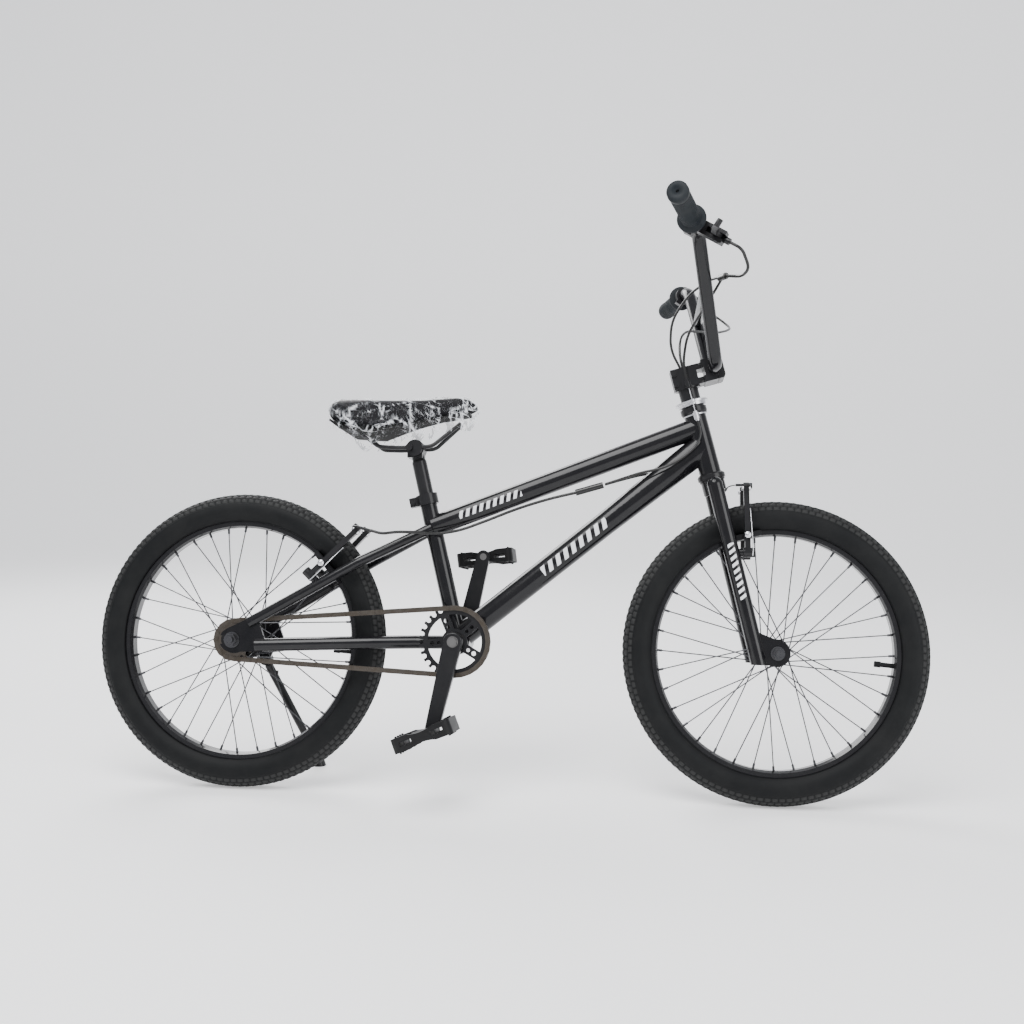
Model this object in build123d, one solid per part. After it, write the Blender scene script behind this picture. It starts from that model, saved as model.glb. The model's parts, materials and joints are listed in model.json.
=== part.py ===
"""Freestyle bmx bike with two rim brakes, a cable rotor and a side stand.

The bike is drawn upright: +X forward from the rear axle, +Y to the rider's left, +Z up
from the underside of the tyres. At the end it is leaned onto its stand, so that both
tyres and the stand's foot touch Z = 0, and centred on the origin.
"""
import math
import os

from build123d import *

# ---------------------------------------------------------------- driving dimensions (mm, degrees)
WHEEL_RADIUS = 254.0
TYRE_RADIUS = 28.0            # radius of the tyre's round section
TYRE_WALL = 3.5
RIM_INNER_RADIUS = 194.5
RIM_FLOOR_RADIUS = 199.0
RIM_EDGE_RADIUS = 209.0
RIM_HALF_WIDTH = 16.0
SPOKE_COUNT = 36
SPOKE_CROSS_ANGLE = 60.0      # between a spoke's hub hole and its rim hole
SPOKE_RADIUS = 1.0
LEAN = 9.0                    # how far the bike leans left onto its stand

TYRE_TO_CRANK = 126.0         # rear tyre's front edge to the crank axis
CRANK_RISE = 6.0              # crank axis above the wheel axles
HEAD_REACH = 425.5            # crank axis to the head tube's lower end
CROWN_DROP = 46.3             # head tube's lower end above the tyres' top line
HEAD_TILT = 15.3              # steering axis from the vertical
HEAD_LENGTH = 102.0
HEAD_RADIUS = 18.5
HEAD_WALL = 2.0
FORK_RAKE = 25.8
STEERER_RADIUS = 14.3
STEERER_WALL = 2.6

SEAT_ANGLE = 76.0
SEAT_TUBE_LENGTH = 257.5
SEAT_TUBE_WALL = 1.8
SEAT_POST_RADIUS = 12.7
TOP_TUBE_RADIUS = 18.0
TOP_TUBE_ON_SEAT = 203.0      # crank axis to the top tube's axis, along the seat tube
TOP_TUBE_ON_HEAD = 82.0       # head tube's lower end to the top tube's axis
DOWN_TUBE_RADIUS = 20.5
DOWN_TUBE_FLARE = 24.0        # half height of the down tube at the head tube
DOWN_TUBE_ON_HEAD = 48.0
FRAME_WALL = 1.6
SHELL_RADIUS = 23.0           # bottom bracket shell
SHELL_HALF_WIDTH = 34.0
CHAINSTAY_RADIUS = 11.0
SEATSTAY_RADIUS = 9.0
REAR_DROPOUT_GAP = 110.0
FRONT_DROPOUT_GAP = 100.0
DROPOUT_THICKNESS = 6.0

CHAIN_PITCH = 12.7
CHAIN_LINE = -45.0            # y of the chain's middle plane
RING_TEETH = 28
COG_TEETH = 16
CRANK_LENGTH = 152.0
CRANK_ANGLE = 257.8           # direction of the right crank arm, up from +X
CRANK_ARM_INNER = 57.0        # y of each arm's inner face
CRANK_ARM_THICKNESS = 14.0
SPINDLE_RADIUS = 9.5
PEDAL_LENGTH = 100.0
PEDAL_WIDTH = 94.0
PEDAL_THICKNESS = 24.0
PEDAL_AXLE_RADIUS = 5.0
RIGHT_PEDAL_TILT = 22.0
LEFT_PEDAL_TILT = 8.0

BAR_RADIUS = 11.1
BAR_HALF_WIDTH = 360.0
BAR_BACK_SWEEP = 12.3
BAR_UP_SWEEP = 1.9
BAR_RISE = 187.0
BAR_FOOT_HALF = 62.0          # half the straight run held by the stem
BAR_SHOULDER_HALF = 190.0
GRIP_LENGTH = 118.0
GRIP_RADIUS = 16.0
STEM_REACH = 50.0
STEM_BASE = 152.0             # head tube's lower end to the stem's underside
STEM_HEIGHT = 35.0

PAD_GAP = 1.5
PAD_THICKNESS = 9.0
FRONT_BRAKE_ANGLE = 104.4     # direction from the axle to the pads, up from +X
REAR_BRAKE_ANGLE = 42.0
FRONT_BRAKE_ARM_ANGLE = 91.5  # direction of the brake arms, up from +X
REAR_BRAKE_ARM_ANGLE = 46.0
BRAKE_PIVOT_DROP = 29.0       # pad centre to the pivot, along the arm
BRAKE_ARM_LENGTH = 112.0
STUD_RADIUS = 4.0
STUD_HALF_SPACING = 47.0
LEVER_THROW = 17.5
BRAKE_THROW = 2.05            # arm's turn until the pads just clear the rim
CABLE_RADIUS = 2.5

STAND_FOOT_SIDE = 150.0       # y of the side stand's foot
STAND_FOOT_AHEAD = 82.0       # foot ahead of the stand's pivot
STAND_LEG_RADIUS = 6.5

RUNNING_CLEARANCE = 0.05      # radial, shafts in bores that turn
FREE_GAP = 0.5                # between faces that move past each other

# ---------------------------------------------------------------- places worked out from them
AXLE_Z = WHEEL_RADIUS
TYRE_CENTRE_RADIUS = WHEEL_RADIUS - TYRE_RADIUS
CRANK_X = WHEEL_RADIUS + TYRE_TO_CRANK
CRANK_Z = AXLE_Z + CRANK_RISE
HEAD_X = CRANK_X + HEAD_REACH
HEAD_Z = AXLE_Z + WHEEL_RADIUS + CROWN_DROP
TILT = math.radians(HEAD_TILT)
FRONT_AXLE_X = HEAD_X + (HEAD_Z - AXLE_Z) * math.tan(TILT) + FORK_RAKE / math.cos(TILT)
STEER = Plane(
    origin=(HEAD_X, 0, HEAD_Z),
    x_dir=(math.cos(TILT), 0, math.sin(TILT)),
    z_dir=(-math.sin(TILT), 0, math.cos(TILT)),
)
SEAT_TUBE_RADIUS = SEAT_POST_RADIUS + RUNNING_CLEARANCE + SEAT_TUBE_WALL
SEAT_DIRECTION = Vector(-math.cos(math.radians(SEAT_ANGLE)), 0, math.sin(math.radians(SEAT_ANGLE)))
REAR_HUB_END = REAR_DROPOUT_GAP / 2
FRONT_HUB_END = FRONT_DROPOUT_GAP / 2
REAR_AXLE_RADIUS = 7.0
FRONT_AXLE_RADIUS = 5.0
AXLE_END_LENGTH = 6.0         # turned-down end past each nut, where a peg goes on
AXLE_END_STEP = 0.4
REAR_NUT_FACE = REAR_HUB_END + DROPOUT_THICKNESS + 12
FRONT_NUT_FACE = FRONT_HUB_END + DROPOUT_THICKNESS + 10
UP = (Align.CENTER, Align.CENTER, Align.MIN)


# ---------------------------------------------------------------- shapes used all over the bike
def on_seat_tube(distance):
    """Point on the seat tube's axis, measured up from the crank axis."""
    return Vector(CRANK_X, 0, CRANK_Z) + SEAT_DIRECTION * distance


def on_steerer(height, ahead=0.0, side=0.0):
    """Point given along, ahead of and beside the steering axis."""
    return STEER.from_local_coords(Vector(ahead, side, height))


def rod(start, end, radius, end_radius=None):
    """Round bar from start to end, tapered when a second radius is given."""
    start = Vector(start)
    span = Vector(end) - start
    if end_radius is None:
        body = Cylinder(radius, span.length, align=UP)
    else:
        body = Cone(radius, end_radius, span.length, align=UP)
    return Plane(origin=start, z_dir=span) * body


def tube(start, end, outer, inner):
    """Hollow round bar."""
    return rod(start, end, outer) - rod(start, end, inner)


def washer(outer, inner, low, high):
    """Ring about the local Z axis between two heights."""
    return Pos(0, 0, low) * (Cylinder(outer, high - low, align=UP) - Cylinder(inner, high - low, align=UP))


def disc(radius, low, high):
    """Round plate about the local Z axis between two heights."""
    return Pos(0, 0, low) * Cylinder(radius, high - low, align=UP)


def side_plate(outline, y_low, y_high):
    """Flat plate whose outline is drawn on X and Z, between two values of Y."""
    return extrude(Plane.XZ.offset(-y_high) * outline, amount=y_high - y_low)


def hull_of(*circles):
    """Smallest convex outline round circles given as (x, y, radius)."""
    edges = []
    for x, y, radius in circles:
        edges += (Pos(x, y) * Circle(radius)).edges()
    return make_hull(edges)


def turned(profile):
    """Ring turned about the local Z axis from a profile drawn on radius and height."""
    return revolve(Plane.XZ * profile, axis=Axis.Z)


def both_sides(shape):
    """A shape and its mirror image across the bike's middle plane."""
    return [shape, mirror(shape, about=Plane.XZ)]


def wheel_plane(x):
    """Local frame on a wheel's axle: local Z is the bike's +Y."""
    return Plane(origin=(x, 0, AXLE_Z), x_dir=(1, 0, 0), z_dir=(0, 1, 0))


def corner_radii(points, share=0.45):
    """Largest arc radius at each corner of a route, from its shorter run and its turn."""
    radii = []
    for before, here, after in zip(points, points[1:], points[2:]):
        first = Vector(here) - Vector(before)
        second = Vector(after) - Vector(here)
        turn = math.radians(first.get_angle(second))
        radii.append(share * min(first.length, second.length) / math.tan(turn / 2))
    return radii


def cable(name, points, radius=CABLE_RADIUS):
    """Cable carried along straight runs joined by tangent arcs."""
    radii = corner_radii(points)
    path = FilletPolyline(*points, radius=radii)
    print(name, "length", round(path.length, 1), "smallest radius", round(min(radii), 1))
    return sweep(Plane(origin=path @ 0, z_dir=path % 0) * Circle(radius), path=path)


def bent_tube(points, corner_radius, outer, inner):
    """Hollow tube with bends of one radius."""
    path = FilletPolyline(*points, radius=corner_radius)
    start = Plane(origin=path @ 0, z_dir=path % 0)
    return sweep(start * Circle(outer), path=path) - sweep(start * Circle(inner), path=path)


def hexagon_bar(across_flats, low, high, bore=0.0):
    """Hexagonal nut or head about the local Z axis."""
    body = extrude(RegularPolygon(across_flats / 2, 6, major_radius=False), amount=high - low)
    if bore:
        body -= Cylinder(bore, high - low, align=UP)
    return Pos(0, 0, low) * body


# ---------------------------------------------------------------- frame
def head_tube():
    body = Cylinder(HEAD_RADIUS, HEAD_LENGTH, align=UP)
    body -= Cylinder(HEAD_RADIUS - HEAD_WALL, HEAD_LENGTH, align=UP)
    return STEER * body


def head_core():
    """Solid of the head tube's outside, for cutting the tubes that meet it."""
    return STEER * Cylinder(HEAD_RADIUS, HEAD_LENGTH, align=UP)


def shell_core():
    """Solid of the bottom bracket shell's outside."""
    low = Vector(CRANK_X, -SHELL_HALF_WIDTH, CRANK_Z)
    high = Vector(CRANK_X, SHELL_HALF_WIDTH, CRANK_Z)
    return rod(low, high, SHELL_RADIUS)


def seat_core():
    """Solid of the seat tube's outside."""
    return rod(on_seat_tube(0), on_seat_tube(SEAT_TUBE_LENGTH), SEAT_TUBE_RADIUS)


def top_tube_ends():
    return on_seat_tube(TOP_TUBE_ON_SEAT), on_steerer(TOP_TUBE_ON_HEAD)


def top_tube():
    start, end = top_tube_ends()
    body = tube(start, end, TOP_TUBE_RADIUS, TOP_TUBE_RADIUS - FRAME_WALL)
    return body - head_core() - seat_core()


def down_tube_solid(inset):
    """Loft from the round lower end to the tall oval at the head tube."""
    start = Vector(CRANK_X, 0, CRANK_Z + 4)
    end = on_steerer(DOWN_TUBE_ON_HEAD)
    along = end - start
    low = Plane(origin=start, x_dir=(0, 1, 0), z_dir=along)
    middle = Plane(origin=start + along * 0.6, x_dir=(0, 1, 0), z_dir=along)
    high = Plane(origin=end, x_dir=(0, 1, 0), z_dir=along)
    lower = loft([low * Circle(DOWN_TUBE_RADIUS - inset), middle * Circle(DOWN_TUBE_RADIUS - inset)])
    mouth = Ellipse(DOWN_TUBE_RADIUS - 1 - inset, DOWN_TUBE_FLARE - inset)
    upper = loft([middle * Circle(DOWN_TUBE_RADIUS - inset), high * mouth])
    return lower + upper


def down_tube():
    start, end = top_tube_ends()
    body = down_tube_solid(0) - down_tube_solid(FRAME_WALL)
    return body - head_core() - shell_core() - rod(start, end, TOP_TUBE_RADIUS)


def seat_tube():
    low = on_seat_tube(0)
    high = on_seat_tube(SEAT_TUBE_LENGTH)
    body = tube(low, high, SEAT_TUBE_RADIUS, SEAT_POST_RADIUS + RUNNING_CLEARANCE)
    slot = on_seat_tube(SEAT_TUBE_LENGTH - 15)
    cut = Plane(origin=slot, x_dir=(0, 1, 0), z_dir=SEAT_DIRECTION) * Pos(0, -15, 15) * Box(1.5, 30, 40)
    return body - shell_core() - down_tube_solid(0) - cut


def bottom_bracket_shell():
    low = Vector(CRANK_X, -SHELL_HALF_WIDTH, CRANK_Z)
    high = Vector(CRANK_X, SHELL_HALF_WIDTH, CRANK_Z)
    return tube(low, high, SHELL_RADIUS, SHELL_RADIUS - 2.5)


def bottom_bracket_bearings():
    pieces = []
    for side in (-1, 1):
        outer = Vector(CRANK_X, side * SHELL_HALF_WIDTH, CRANK_Z)
        inner = Vector(CRANK_X, side * (SHELL_HALF_WIDTH - 12), CRANK_Z)
        pieces.append(tube(inner, outer, SHELL_RADIUS - 2.5, SPINDLE_RADIUS + RUNNING_CLEARANCE))
    return pieces


def chainstay_route():
    """Right chainstay: tucked in beside the chainring, then out round the tyre."""
    return [
        Vector(CRANK_X - 8, -21, CRANK_Z - 2),
        Vector(WHEEL_RADIUS + 58, -28, CRANK_Z - 3),
        Vector(WHEEL_RADIUS - 18, -42.5, AXLE_Z + 0.5),
        Vector(40, -REAR_HUB_END - 3, AXLE_Z - 8),
    ]


def seatstay_route():
    """Right seatstay, from the dropout past the tyre to the seat tube."""
    top = on_seat_tube(TOP_TUBE_ON_SEAT - 4)
    return [
        Vector(28, -REAR_HUB_END - DROPOUT_THICKNESS - 0.5, AXLE_Z + 29),
        Vector(WHEEL_RADIUS * 0.84, -44, AXLE_Z + 138),
        Vector(top.X - 2, -14, top.Z),
    ]


def dropout_outline():
    slot = Pos(-14, AXLE_Z) * Rectangle(30, 2 * REAR_AXLE_RADIUS + 0.3)
    slot += Pos(1, AXLE_Z) * Circle(REAR_AXLE_RADIUS + 0.15)
    body = hull_of((-2, AXLE_Z, 20), (49, AXLE_Z - 8, 11), (36, AXLE_Z + 32, 8.5))
    return body - slot


def rear_dropouts():
    return both_sides(side_plate(dropout_outline(), -REAR_HUB_END - DROPOUT_THICKNESS, -REAR_HUB_END))


def chainstays():
    route = chainstay_route()
    stay = bent_tube(route, 50, CHAINSTAY_RADIUS, CHAINSTAY_RADIUS - FRAME_WALL)
    stay = stay - shell_core() - rear_dropouts()[0]
    bridge_x = WHEEL_RADIUS + 38
    bridge_half = 30 - CHAINSTAY_RADIUS + 1.5
    bridge = rod((bridge_x, -bridge_half, CRANK_Z - 3.3), (bridge_x, bridge_half, CRANK_Z - 3.3), 6)
    body = Part() + both_sides(solid_of(stay))
    return body.solids() + (bridge - body).solids()[:1]


def solid_of(shape):
    """The largest solid of a shape, without slivers that a cut leaves behind."""
    return max(shape.solids(), key=lambda piece: piece.volume)


def seatstays():
    stay = bent_tube(seatstay_route(), 60, SEATSTAY_RADIUS, SEATSTAY_RADIUS - FRAME_WALL)
    stay = solid_of(stay - seat_core() - rear_dropouts()[0] - top_tube_core())
    middle = (Vector(*seatstay_route()[1]) + Vector(*seatstay_route()[2])) * 0.5
    bridge = rod((middle.X, -30, middle.Z), (middle.X, 30, middle.Z), 5.5)
    body = Part() + both_sides(stay)
    return body.solids() + (bridge - body).solids()[:1]


def top_tube_core():
    start, end = top_tube_ends()
    return rod(start, end, TOP_TUBE_RADIUS)


def seat_clamp():
    """Split collar round the seat tube's top, with two ears and a bolt at the rear."""
    base = Plane(origin=on_seat_tube(SEAT_TUBE_LENGTH - 16), x_dir=(0, 1, 0), z_dir=SEAT_DIRECTION)
    outer = SEAT_TUBE_RADIUS + 4
    collar = Cylinder(outer, 18, align=UP)
    ears = Pos(0, outer + 4, 9) * Box(16, 16, 16)
    collar = collar + ears - Cylinder(SEAT_TUBE_RADIUS, 18, align=UP) - Pos(0, outer + 2, 9) * Box(3, 24, 20)
    bolt_at = Pos(0, outer + 6, 9) * Rot(0, 90, 0)
    hole = bolt_at * Cylinder(2.6, 30)
    bolt = bolt_at * (Cylinder(2.5, 16) + Pos(0, 0, 10.5) * Cylinder(4.5, 5) + Pos(0, 0, -10) * Cylinder(4.5, 4))
    return [base * (collar - hole), base * bolt]


def headset():
    """Pressed cups at both ends of the head tube, each with its ball cage."""
    bore = STEERER_RADIUS + 0.5
    seat = HEAD_RADIUS - HEAD_WALL
    lower = turned(Polygon(
        (20.5, -10), (23.5, -10), (23.5, -3), (20.5, 0), (seat, 0), (seat, 9), (bore, 9), (bore, -2.5),
        (20.5, -2.5), align=None))
    cage = washer(20.3, STEERER_RADIUS + RUNNING_CLEARANCE, -9.5, -3)
    upper = turned(Polygon(
        (20.5, 14), (22.5, 14), (22.5, 6), (20.5, 2), (seat, 2), (seat, -7), (bore, -7), (bore, 6.5),
        (20.5, 6.5), align=None))
    upper_cage = washer(20.3, STEERER_RADIUS + RUNNING_CLEARANCE, 7, 13.5)
    top = Pos(0, 0, HEAD_LENGTH)
    return [STEER * piece for piece in (lower, cage, top * upper, top * upper_cage)]


def axle_rod(radius, nut_face):
    """Axle with a slightly thinner end past each nut."""
    tip = nut_face + AXLE_END_LENGTH
    return disc(radius, -nut_face, nut_face) + disc(radius - AXLE_END_STEP, -tip, tip)


def rear_axle():
    """Axle with its cones, washers and hexagon nuts."""
    place = wheel_plane(0)
    pieces = [axle_rod(REAR_AXLE_RADIUS, REAR_NUT_FACE)]
    for flip in (Rot(0, 0, 0), Rot(180, 0, 0)):
        low = REAR_HUB_END + DROPOUT_THICKNESS
        pieces.append(flip * washer(10.5, REAR_AXLE_RADIUS, REAR_HUB_END - 7, REAR_HUB_END))
        pieces.append(flip * washer(13.5, REAR_AXLE_RADIUS, low, low + 2))
        pieces.append(flip * hexagon_bar(19, low + 2, REAR_NUT_FACE, REAR_AXLE_RADIUS))
    return [place * piece for piece in pieces]


def brake_plane(axle_x, pad_angle, arm_angle, facing):
    """Frame on the middle plane at the pads' centre, with X up along the arms.

    Z runs out along the studs: backward from the seatstays, forward from the fork.
    """
    reach = (RIM_FLOOR_RADIUS + RIM_EDGE_RADIUS) / 2 - 4
    pad = math.radians(pad_angle)
    arm = math.radians(arm_angle)
    origin = (axle_x + reach * math.cos(pad), 0, AXLE_Z + reach * math.sin(pad))
    up = Vector(math.cos(arm), 0, math.sin(arm))
    across = Vector(0, facing, 0)
    return Plane(origin=origin, x_dir=up, z_dir=up.cross(across))


def rear_brake_plane():
    """Local Y is to the left."""
    return brake_plane(0, REAR_BRAKE_ANGLE, REAR_BRAKE_ARM_ANGLE, 1)


def front_brake_plane():
    """Local Y is to the right."""
    return brake_plane(FRONT_AXLE_X, FRONT_BRAKE_ANGLE, FRONT_BRAKE_ARM_ANGLE, -1)


def rear_brake_studs():
    """Threaded studs on the seatstays that the rear brake arms turn on."""
    place = rear_brake_plane()
    pieces = []
    for side in (-1, 1):
        pivot = Pos(-BRAKE_PIVOT_DROP, side * STUD_HALF_SPACING, 0)
        stud = pivot * (disc(STUD_RADIUS, -26, 9.5) + disc(6.5, -26, -8))
        pieces.append(place * stud)
    stays = Part() + both_sides(rod_chain(seatstay_route(), SEATSTAY_RADIUS))
    return [solid_of(piece - stays) for piece in pieces]


def rod_chain(points, radius):
    """Filled bent bar with the same bends as the seatstays."""
    path = FilletPolyline(*points, radius=60)
    return sweep(Plane(origin=path @ 0, z_dir=path % 0) * Circle(radius), path=path)


def stand_pivot():
    return Vector(24, REAR_HUB_END + 9, AXLE_Z - 36)


def stand_bracket():
    """Plate under the left dropout that carries the side stand's pivot pin."""
    pivot = stand_pivot()
    low = pivot.Y - 9
    plate = side_plate(hull_of((20, AXLE_Z - 14, 7), (34, AXLE_Z - 16, 7), (pivot.X, pivot.Z, 9)), low - 3, low + 2)
    plate -= mirror(rear_dropouts()[0], about=Plane.XZ)
    plate -= rod((-40, low - 3, AXLE_Z), (-39, low - 3, AXLE_Z), 1)
    pin = rod((pivot.X, low + 2, pivot.Z), (pivot.X, low + 20, pivot.Z), 4)
    head = rod((pivot.X, low + 18.5, pivot.Z), (pivot.X, low + 22, pivot.Z), 7)
    plate -= mirror(chainstays()[0], about=Plane.XZ)
    return solid_of(plate) + pin + head


# ---------------------------------------------------------------- chain
def pitch_radius(teeth):
    return CHAIN_PITCH / (2 * math.sin(math.pi / teeth))


def chain_points():
    """Pin centres round both sprockets, evenly spaced and starting at the ring's front."""
    large = pitch_radius(RING_TEETH)
    small = pitch_radius(COG_TEETH)
    centre_line = Vector(CRANK_X, 0, CRANK_RISE)
    distance = centre_line.length
    heading = math.atan2(CRANK_RISE, CRANK_X)
    slant = math.asin((large - small) / distance)
    straight = distance * math.cos(slant)
    half_ring = large * (math.pi / 2 + slant)
    half_cog = small * (math.pi / 2 - slant)
    total = 2 * (half_ring + straight + half_cog)
    count = 2 * round(total / CHAIN_PITCH / 2)
    points = []
    for number in range(count):
        run = total * number / count
        mirrored = run > total / 2
        run = min(run, total - run)
        if run <= half_ring:
            angle = run / large
            x, y, wrapped = distance + large * math.cos(angle), large * math.sin(angle), True
        elif run <= half_ring + straight:
            share = run - half_ring
            normal = math.pi / 2 + slant
            x = distance + large * math.cos(normal) - share * math.cos(slant)
            y = large * math.sin(normal) - share * math.sin(slant)
            wrapped = share < 22 or straight - share < 22
        else:
            angle = (run - half_ring - straight) / small + math.pi / 2 + slant
            x, y, wrapped = small * math.cos(angle), small * math.sin(angle), True
        if mirrored:
            y = -y
        points.append((
            x * math.cos(heading) - y * math.sin(heading),
            AXLE_Z + x * math.sin(heading) + y * math.cos(heading),
            wrapped,
        ))
    return points


def chain_plates():
    """Side plates: pairs that alternate between the inner and the outer link."""
    points = chain_points()
    pieces = []
    for number, (x, z, _) in enumerate(points):
        next_x, next_z, _ = points[(number + 1) % len(points)]
        length = math.hypot(next_x - x, next_z - z)
        angle = math.degrees(math.atan2(next_z - z, next_x - x))
        middle = Pos((x + next_x) / 2, (z + next_z) / 2) * Rot(0, 0, angle)
        outline = middle * (SlotCenterToCenter(length, 8.2) - [
            Pos(end * length / 2, 0) * Circle(1.85) for end in (-1, 1)])
        offset = 2.0 if number % 2 else 3.2
        for side in (-1, 1):
            centre = CHAIN_LINE + side * (offset + 0.5)
            pieces.append(side_plate(outline, centre - 0.5, centre + 0.5))
    return pieces


def chain_rollers():
    """Pins, and rollers on them on the runs that no sprocket tooth sweeps through."""
    pieces = []
    for x, z, wrapped in chain_points():
        if wrapped:
            for side in (-1, 1):
                pieces.append(rod((x, CHAIN_LINE + side * 2, z), (x, CHAIN_LINE + side * 4.6, z), 1.8))
        else:
            pieces.append(rod((x, CHAIN_LINE - 4.6, z), (x, CHAIN_LINE + 4.6, z), 1.8))
            pieces.append(tube((x, CHAIN_LINE - 1.8, z), (x, CHAIN_LINE + 1.8, z), 3.9, 1.85))
    return pieces


def sprocket_blank(teeth, tip, phase):
    """Toothed outline with a round seat for each roller."""
    pitch = pitch_radius(teeth)
    outline = Circle(tip)
    gap = Pos(pitch, 0) * Circle(4.0)
    gap += Polygon((pitch, -3.6), (tip + 2, -5.3), (tip + 2, 5.3), (pitch, 3.6), align=None)
    return outline - [Rot(0, 0, phase + number * 360 / teeth) * gap for number in range(teeth)]


def chainring():
    """Toothed ring on a five-armed spider, with two round holes in each arm."""
    heading = math.degrees(math.atan2(CRANK_RISE, CRANK_X))
    tip = pitch_radius(RING_TEETH) + 3.6
    outline = sprocket_blank(RING_TEETH, tip, heading) - Circle(46)
    outline += Circle(22)
    for number in range(5):
        arm = Rot(0, 0, CRANK_ANGLE + number * 72)
        spider = Pos(34, 0) * Rectangle(28, 15)
        spider -= Pos(27, 0) * Circle(3.2)
        spider -= Pos(38, 0) * Circle(3.8)
        outline += arm * spider
    outline -= Circle(SPINDLE_RADIUS)
    outline -= [Rot(0, 0, 36 + number * 72) * Pos(16, 0) * Circle(2) for number in range(5)]
    return side_plate(Pos(CRANK_X, CRANK_Z) * outline, CHAIN_LINE - 1.2, CHAIN_LINE + 1.2)


def freewheel_sprocket():
    """Toothed outer ring of the one-way clutch on the rear hub."""
    heading = math.degrees(math.atan2(CRANK_RISE, CRANK_X))
    outline = sprocket_blank(COG_TEETH, pitch_radius(COG_TEETH) + 3.4, 180 + heading)
    bore = FREEWHEEL_CORE_RADIUS + RUNNING_CLEARANCE
    ring = side_plate(Pos(0, AXLE_Z) * (outline - Circle(bore)), CHAIN_LINE - 1.2, CHAIN_LINE + 1.2)
    drum = tube((0, CHAIN_LINE - 3.5, AXLE_Z), (0, CHAIN_LINE + 9, AXLE_Z), 27.6, bore)
    return ring + drum


# ---------------------------------------------------------------- wheels
FREEWHEEL_CORE_RADIUS = 23.0


def tyre():
    """Open-bellied rubber section whose beads sit inside the rim's edges."""
    section = Pos(TYRE_CENTRE_RADIUS, 0) * (Circle(TYRE_RADIUS) - Circle(TYRE_RADIUS - TYRE_WALL))
    edge = RIM_EDGE_RADIUS + 0.4
    bead = RIM_FLOOR_RADIUS + 4.6
    inside = RIM_HALF_WIDTH - 2.3
    for side in (-1, 1):
        neck = [
            (bead, side * (inside - 4)), (bead, side * inside), (edge, side * inside), (edge, side * (inside + 8)),
            (edge + 7, side * (inside + 9)), (edge + 4.6, side * (inside + 1.5)), (edge - 1, side * (inside - 3.6)),
        ]
        section += Polygon(*neck[::-side], align=None)
    section -= Pos(edge / 2, 0) * Rectangle(edge, 2 * (inside - 4))
    for side in (-1, 1):
        section -= Pos(edge / 2, side * (inside + 20)) * Rectangle(edge, 40)
    section -= Pos(bead / 2, 0) * Rectangle(bead, 80)
    return turned(section)


def tube_section(inset):
    """Outline of the inflated inner tube, narrowed where it dips between the beads."""
    outline = Pos(TYRE_CENTRE_RADIUS + 0.3, 0) * Circle(TYRE_RADIUS - TYRE_WALL - 0.6 - inset)
    for side in (-1, 1):
        outline -= Pos(200 + inset, side * (29 - inset)) * Rectangle(35, 40)
    return outline


def inner_tube():
    return turned(tube_section(0) - tube_section(1.2))


def rim(hole_radius, left_flange, right_flange):
    """Single-walled alloy rim, drilled along each spoke and for the valve."""
    wall = 2.0
    half = RIM_HALF_WIDTH
    body = turned(Polygon(
        (RIM_INNER_RADIUS, -9), (RIM_INNER_RADIUS, 9), (RIM_INNER_RADIUS + 3, half), (RIM_EDGE_RADIUS, half),
        (RIM_EDGE_RADIUS, half - wall), (RIM_FLOOR_RADIUS + 4, half - wall), (RIM_FLOOR_RADIUS, 9.5),
        (RIM_FLOOR_RADIUS, -9.5), (RIM_FLOOR_RADIUS + 4, wall - half), (RIM_EDGE_RADIUS, wall - half),
        (RIM_EDGE_RADIUS, -half), (RIM_INNER_RADIUS + 3, -half), align=None))
    holes = []
    for number in range(SPOKE_COUNT):
        start, end, _ = spoke_line(number, hole_radius, left_flange, right_flange)
        along = (end - start).normalized()
        holes.append(rod(end - along * 12, end + along * 6, NIPPLE_RADIUS + 0.3))
    drill = Pos(RIM_INNER_RADIUS - 5, 0, 0) * Rot(0, 90, 0) * Cylinder(VALVE_RADIUS + 0.3, 20, align=UP)
    holes.append(Rot(0, 0, 180 / SPOKE_COUNT) * drill)
    return body - holes


VALVE_RADIUS = 4.0


def valve():
    """Valve stem with its cap, standing in towards the hub."""
    place = Rot(0, 0, 180 / SPOKE_COUNT) * Pos(RIM_FLOOR_RADIUS + 3, 0, 0) * Rot(0, -90, 0)
    return place * (disc(VALVE_RADIUS, 0, 30) + disc(VALVE_RADIUS + 1, 28, 38))


def spoke_line(number, hole_radius, left_flange, right_flange):
    """A spoke's start beside its flange, its seat in the rim, and the flange it hooks into."""
    left = number % 2 == 0
    flange = left_flange if left else right_flange
    outward = 1 if left else -1
    lead = 1 if (number // 2) % 2 == 0 else -1
    clear = FLANGE_HALF + SPOKE_RADIUS + (1.4 if lead > 0 else 0.2)
    rim_angle = math.radians(number * 360 / SPOKE_COUNT)
    hub_angle = rim_angle + lead * math.radians(SPOKE_CROSS_ANGLE)
    seat = RIM_FLOOR_RADIUS + 0.9
    start = Vector(
        hole_radius * math.cos(hub_angle), hole_radius * math.sin(hub_angle), flange + outward * lead * clear)
    end = Vector(seat * math.cos(rim_angle), seat * math.sin(rim_angle), outward * 3)
    return start, end, flange


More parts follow.
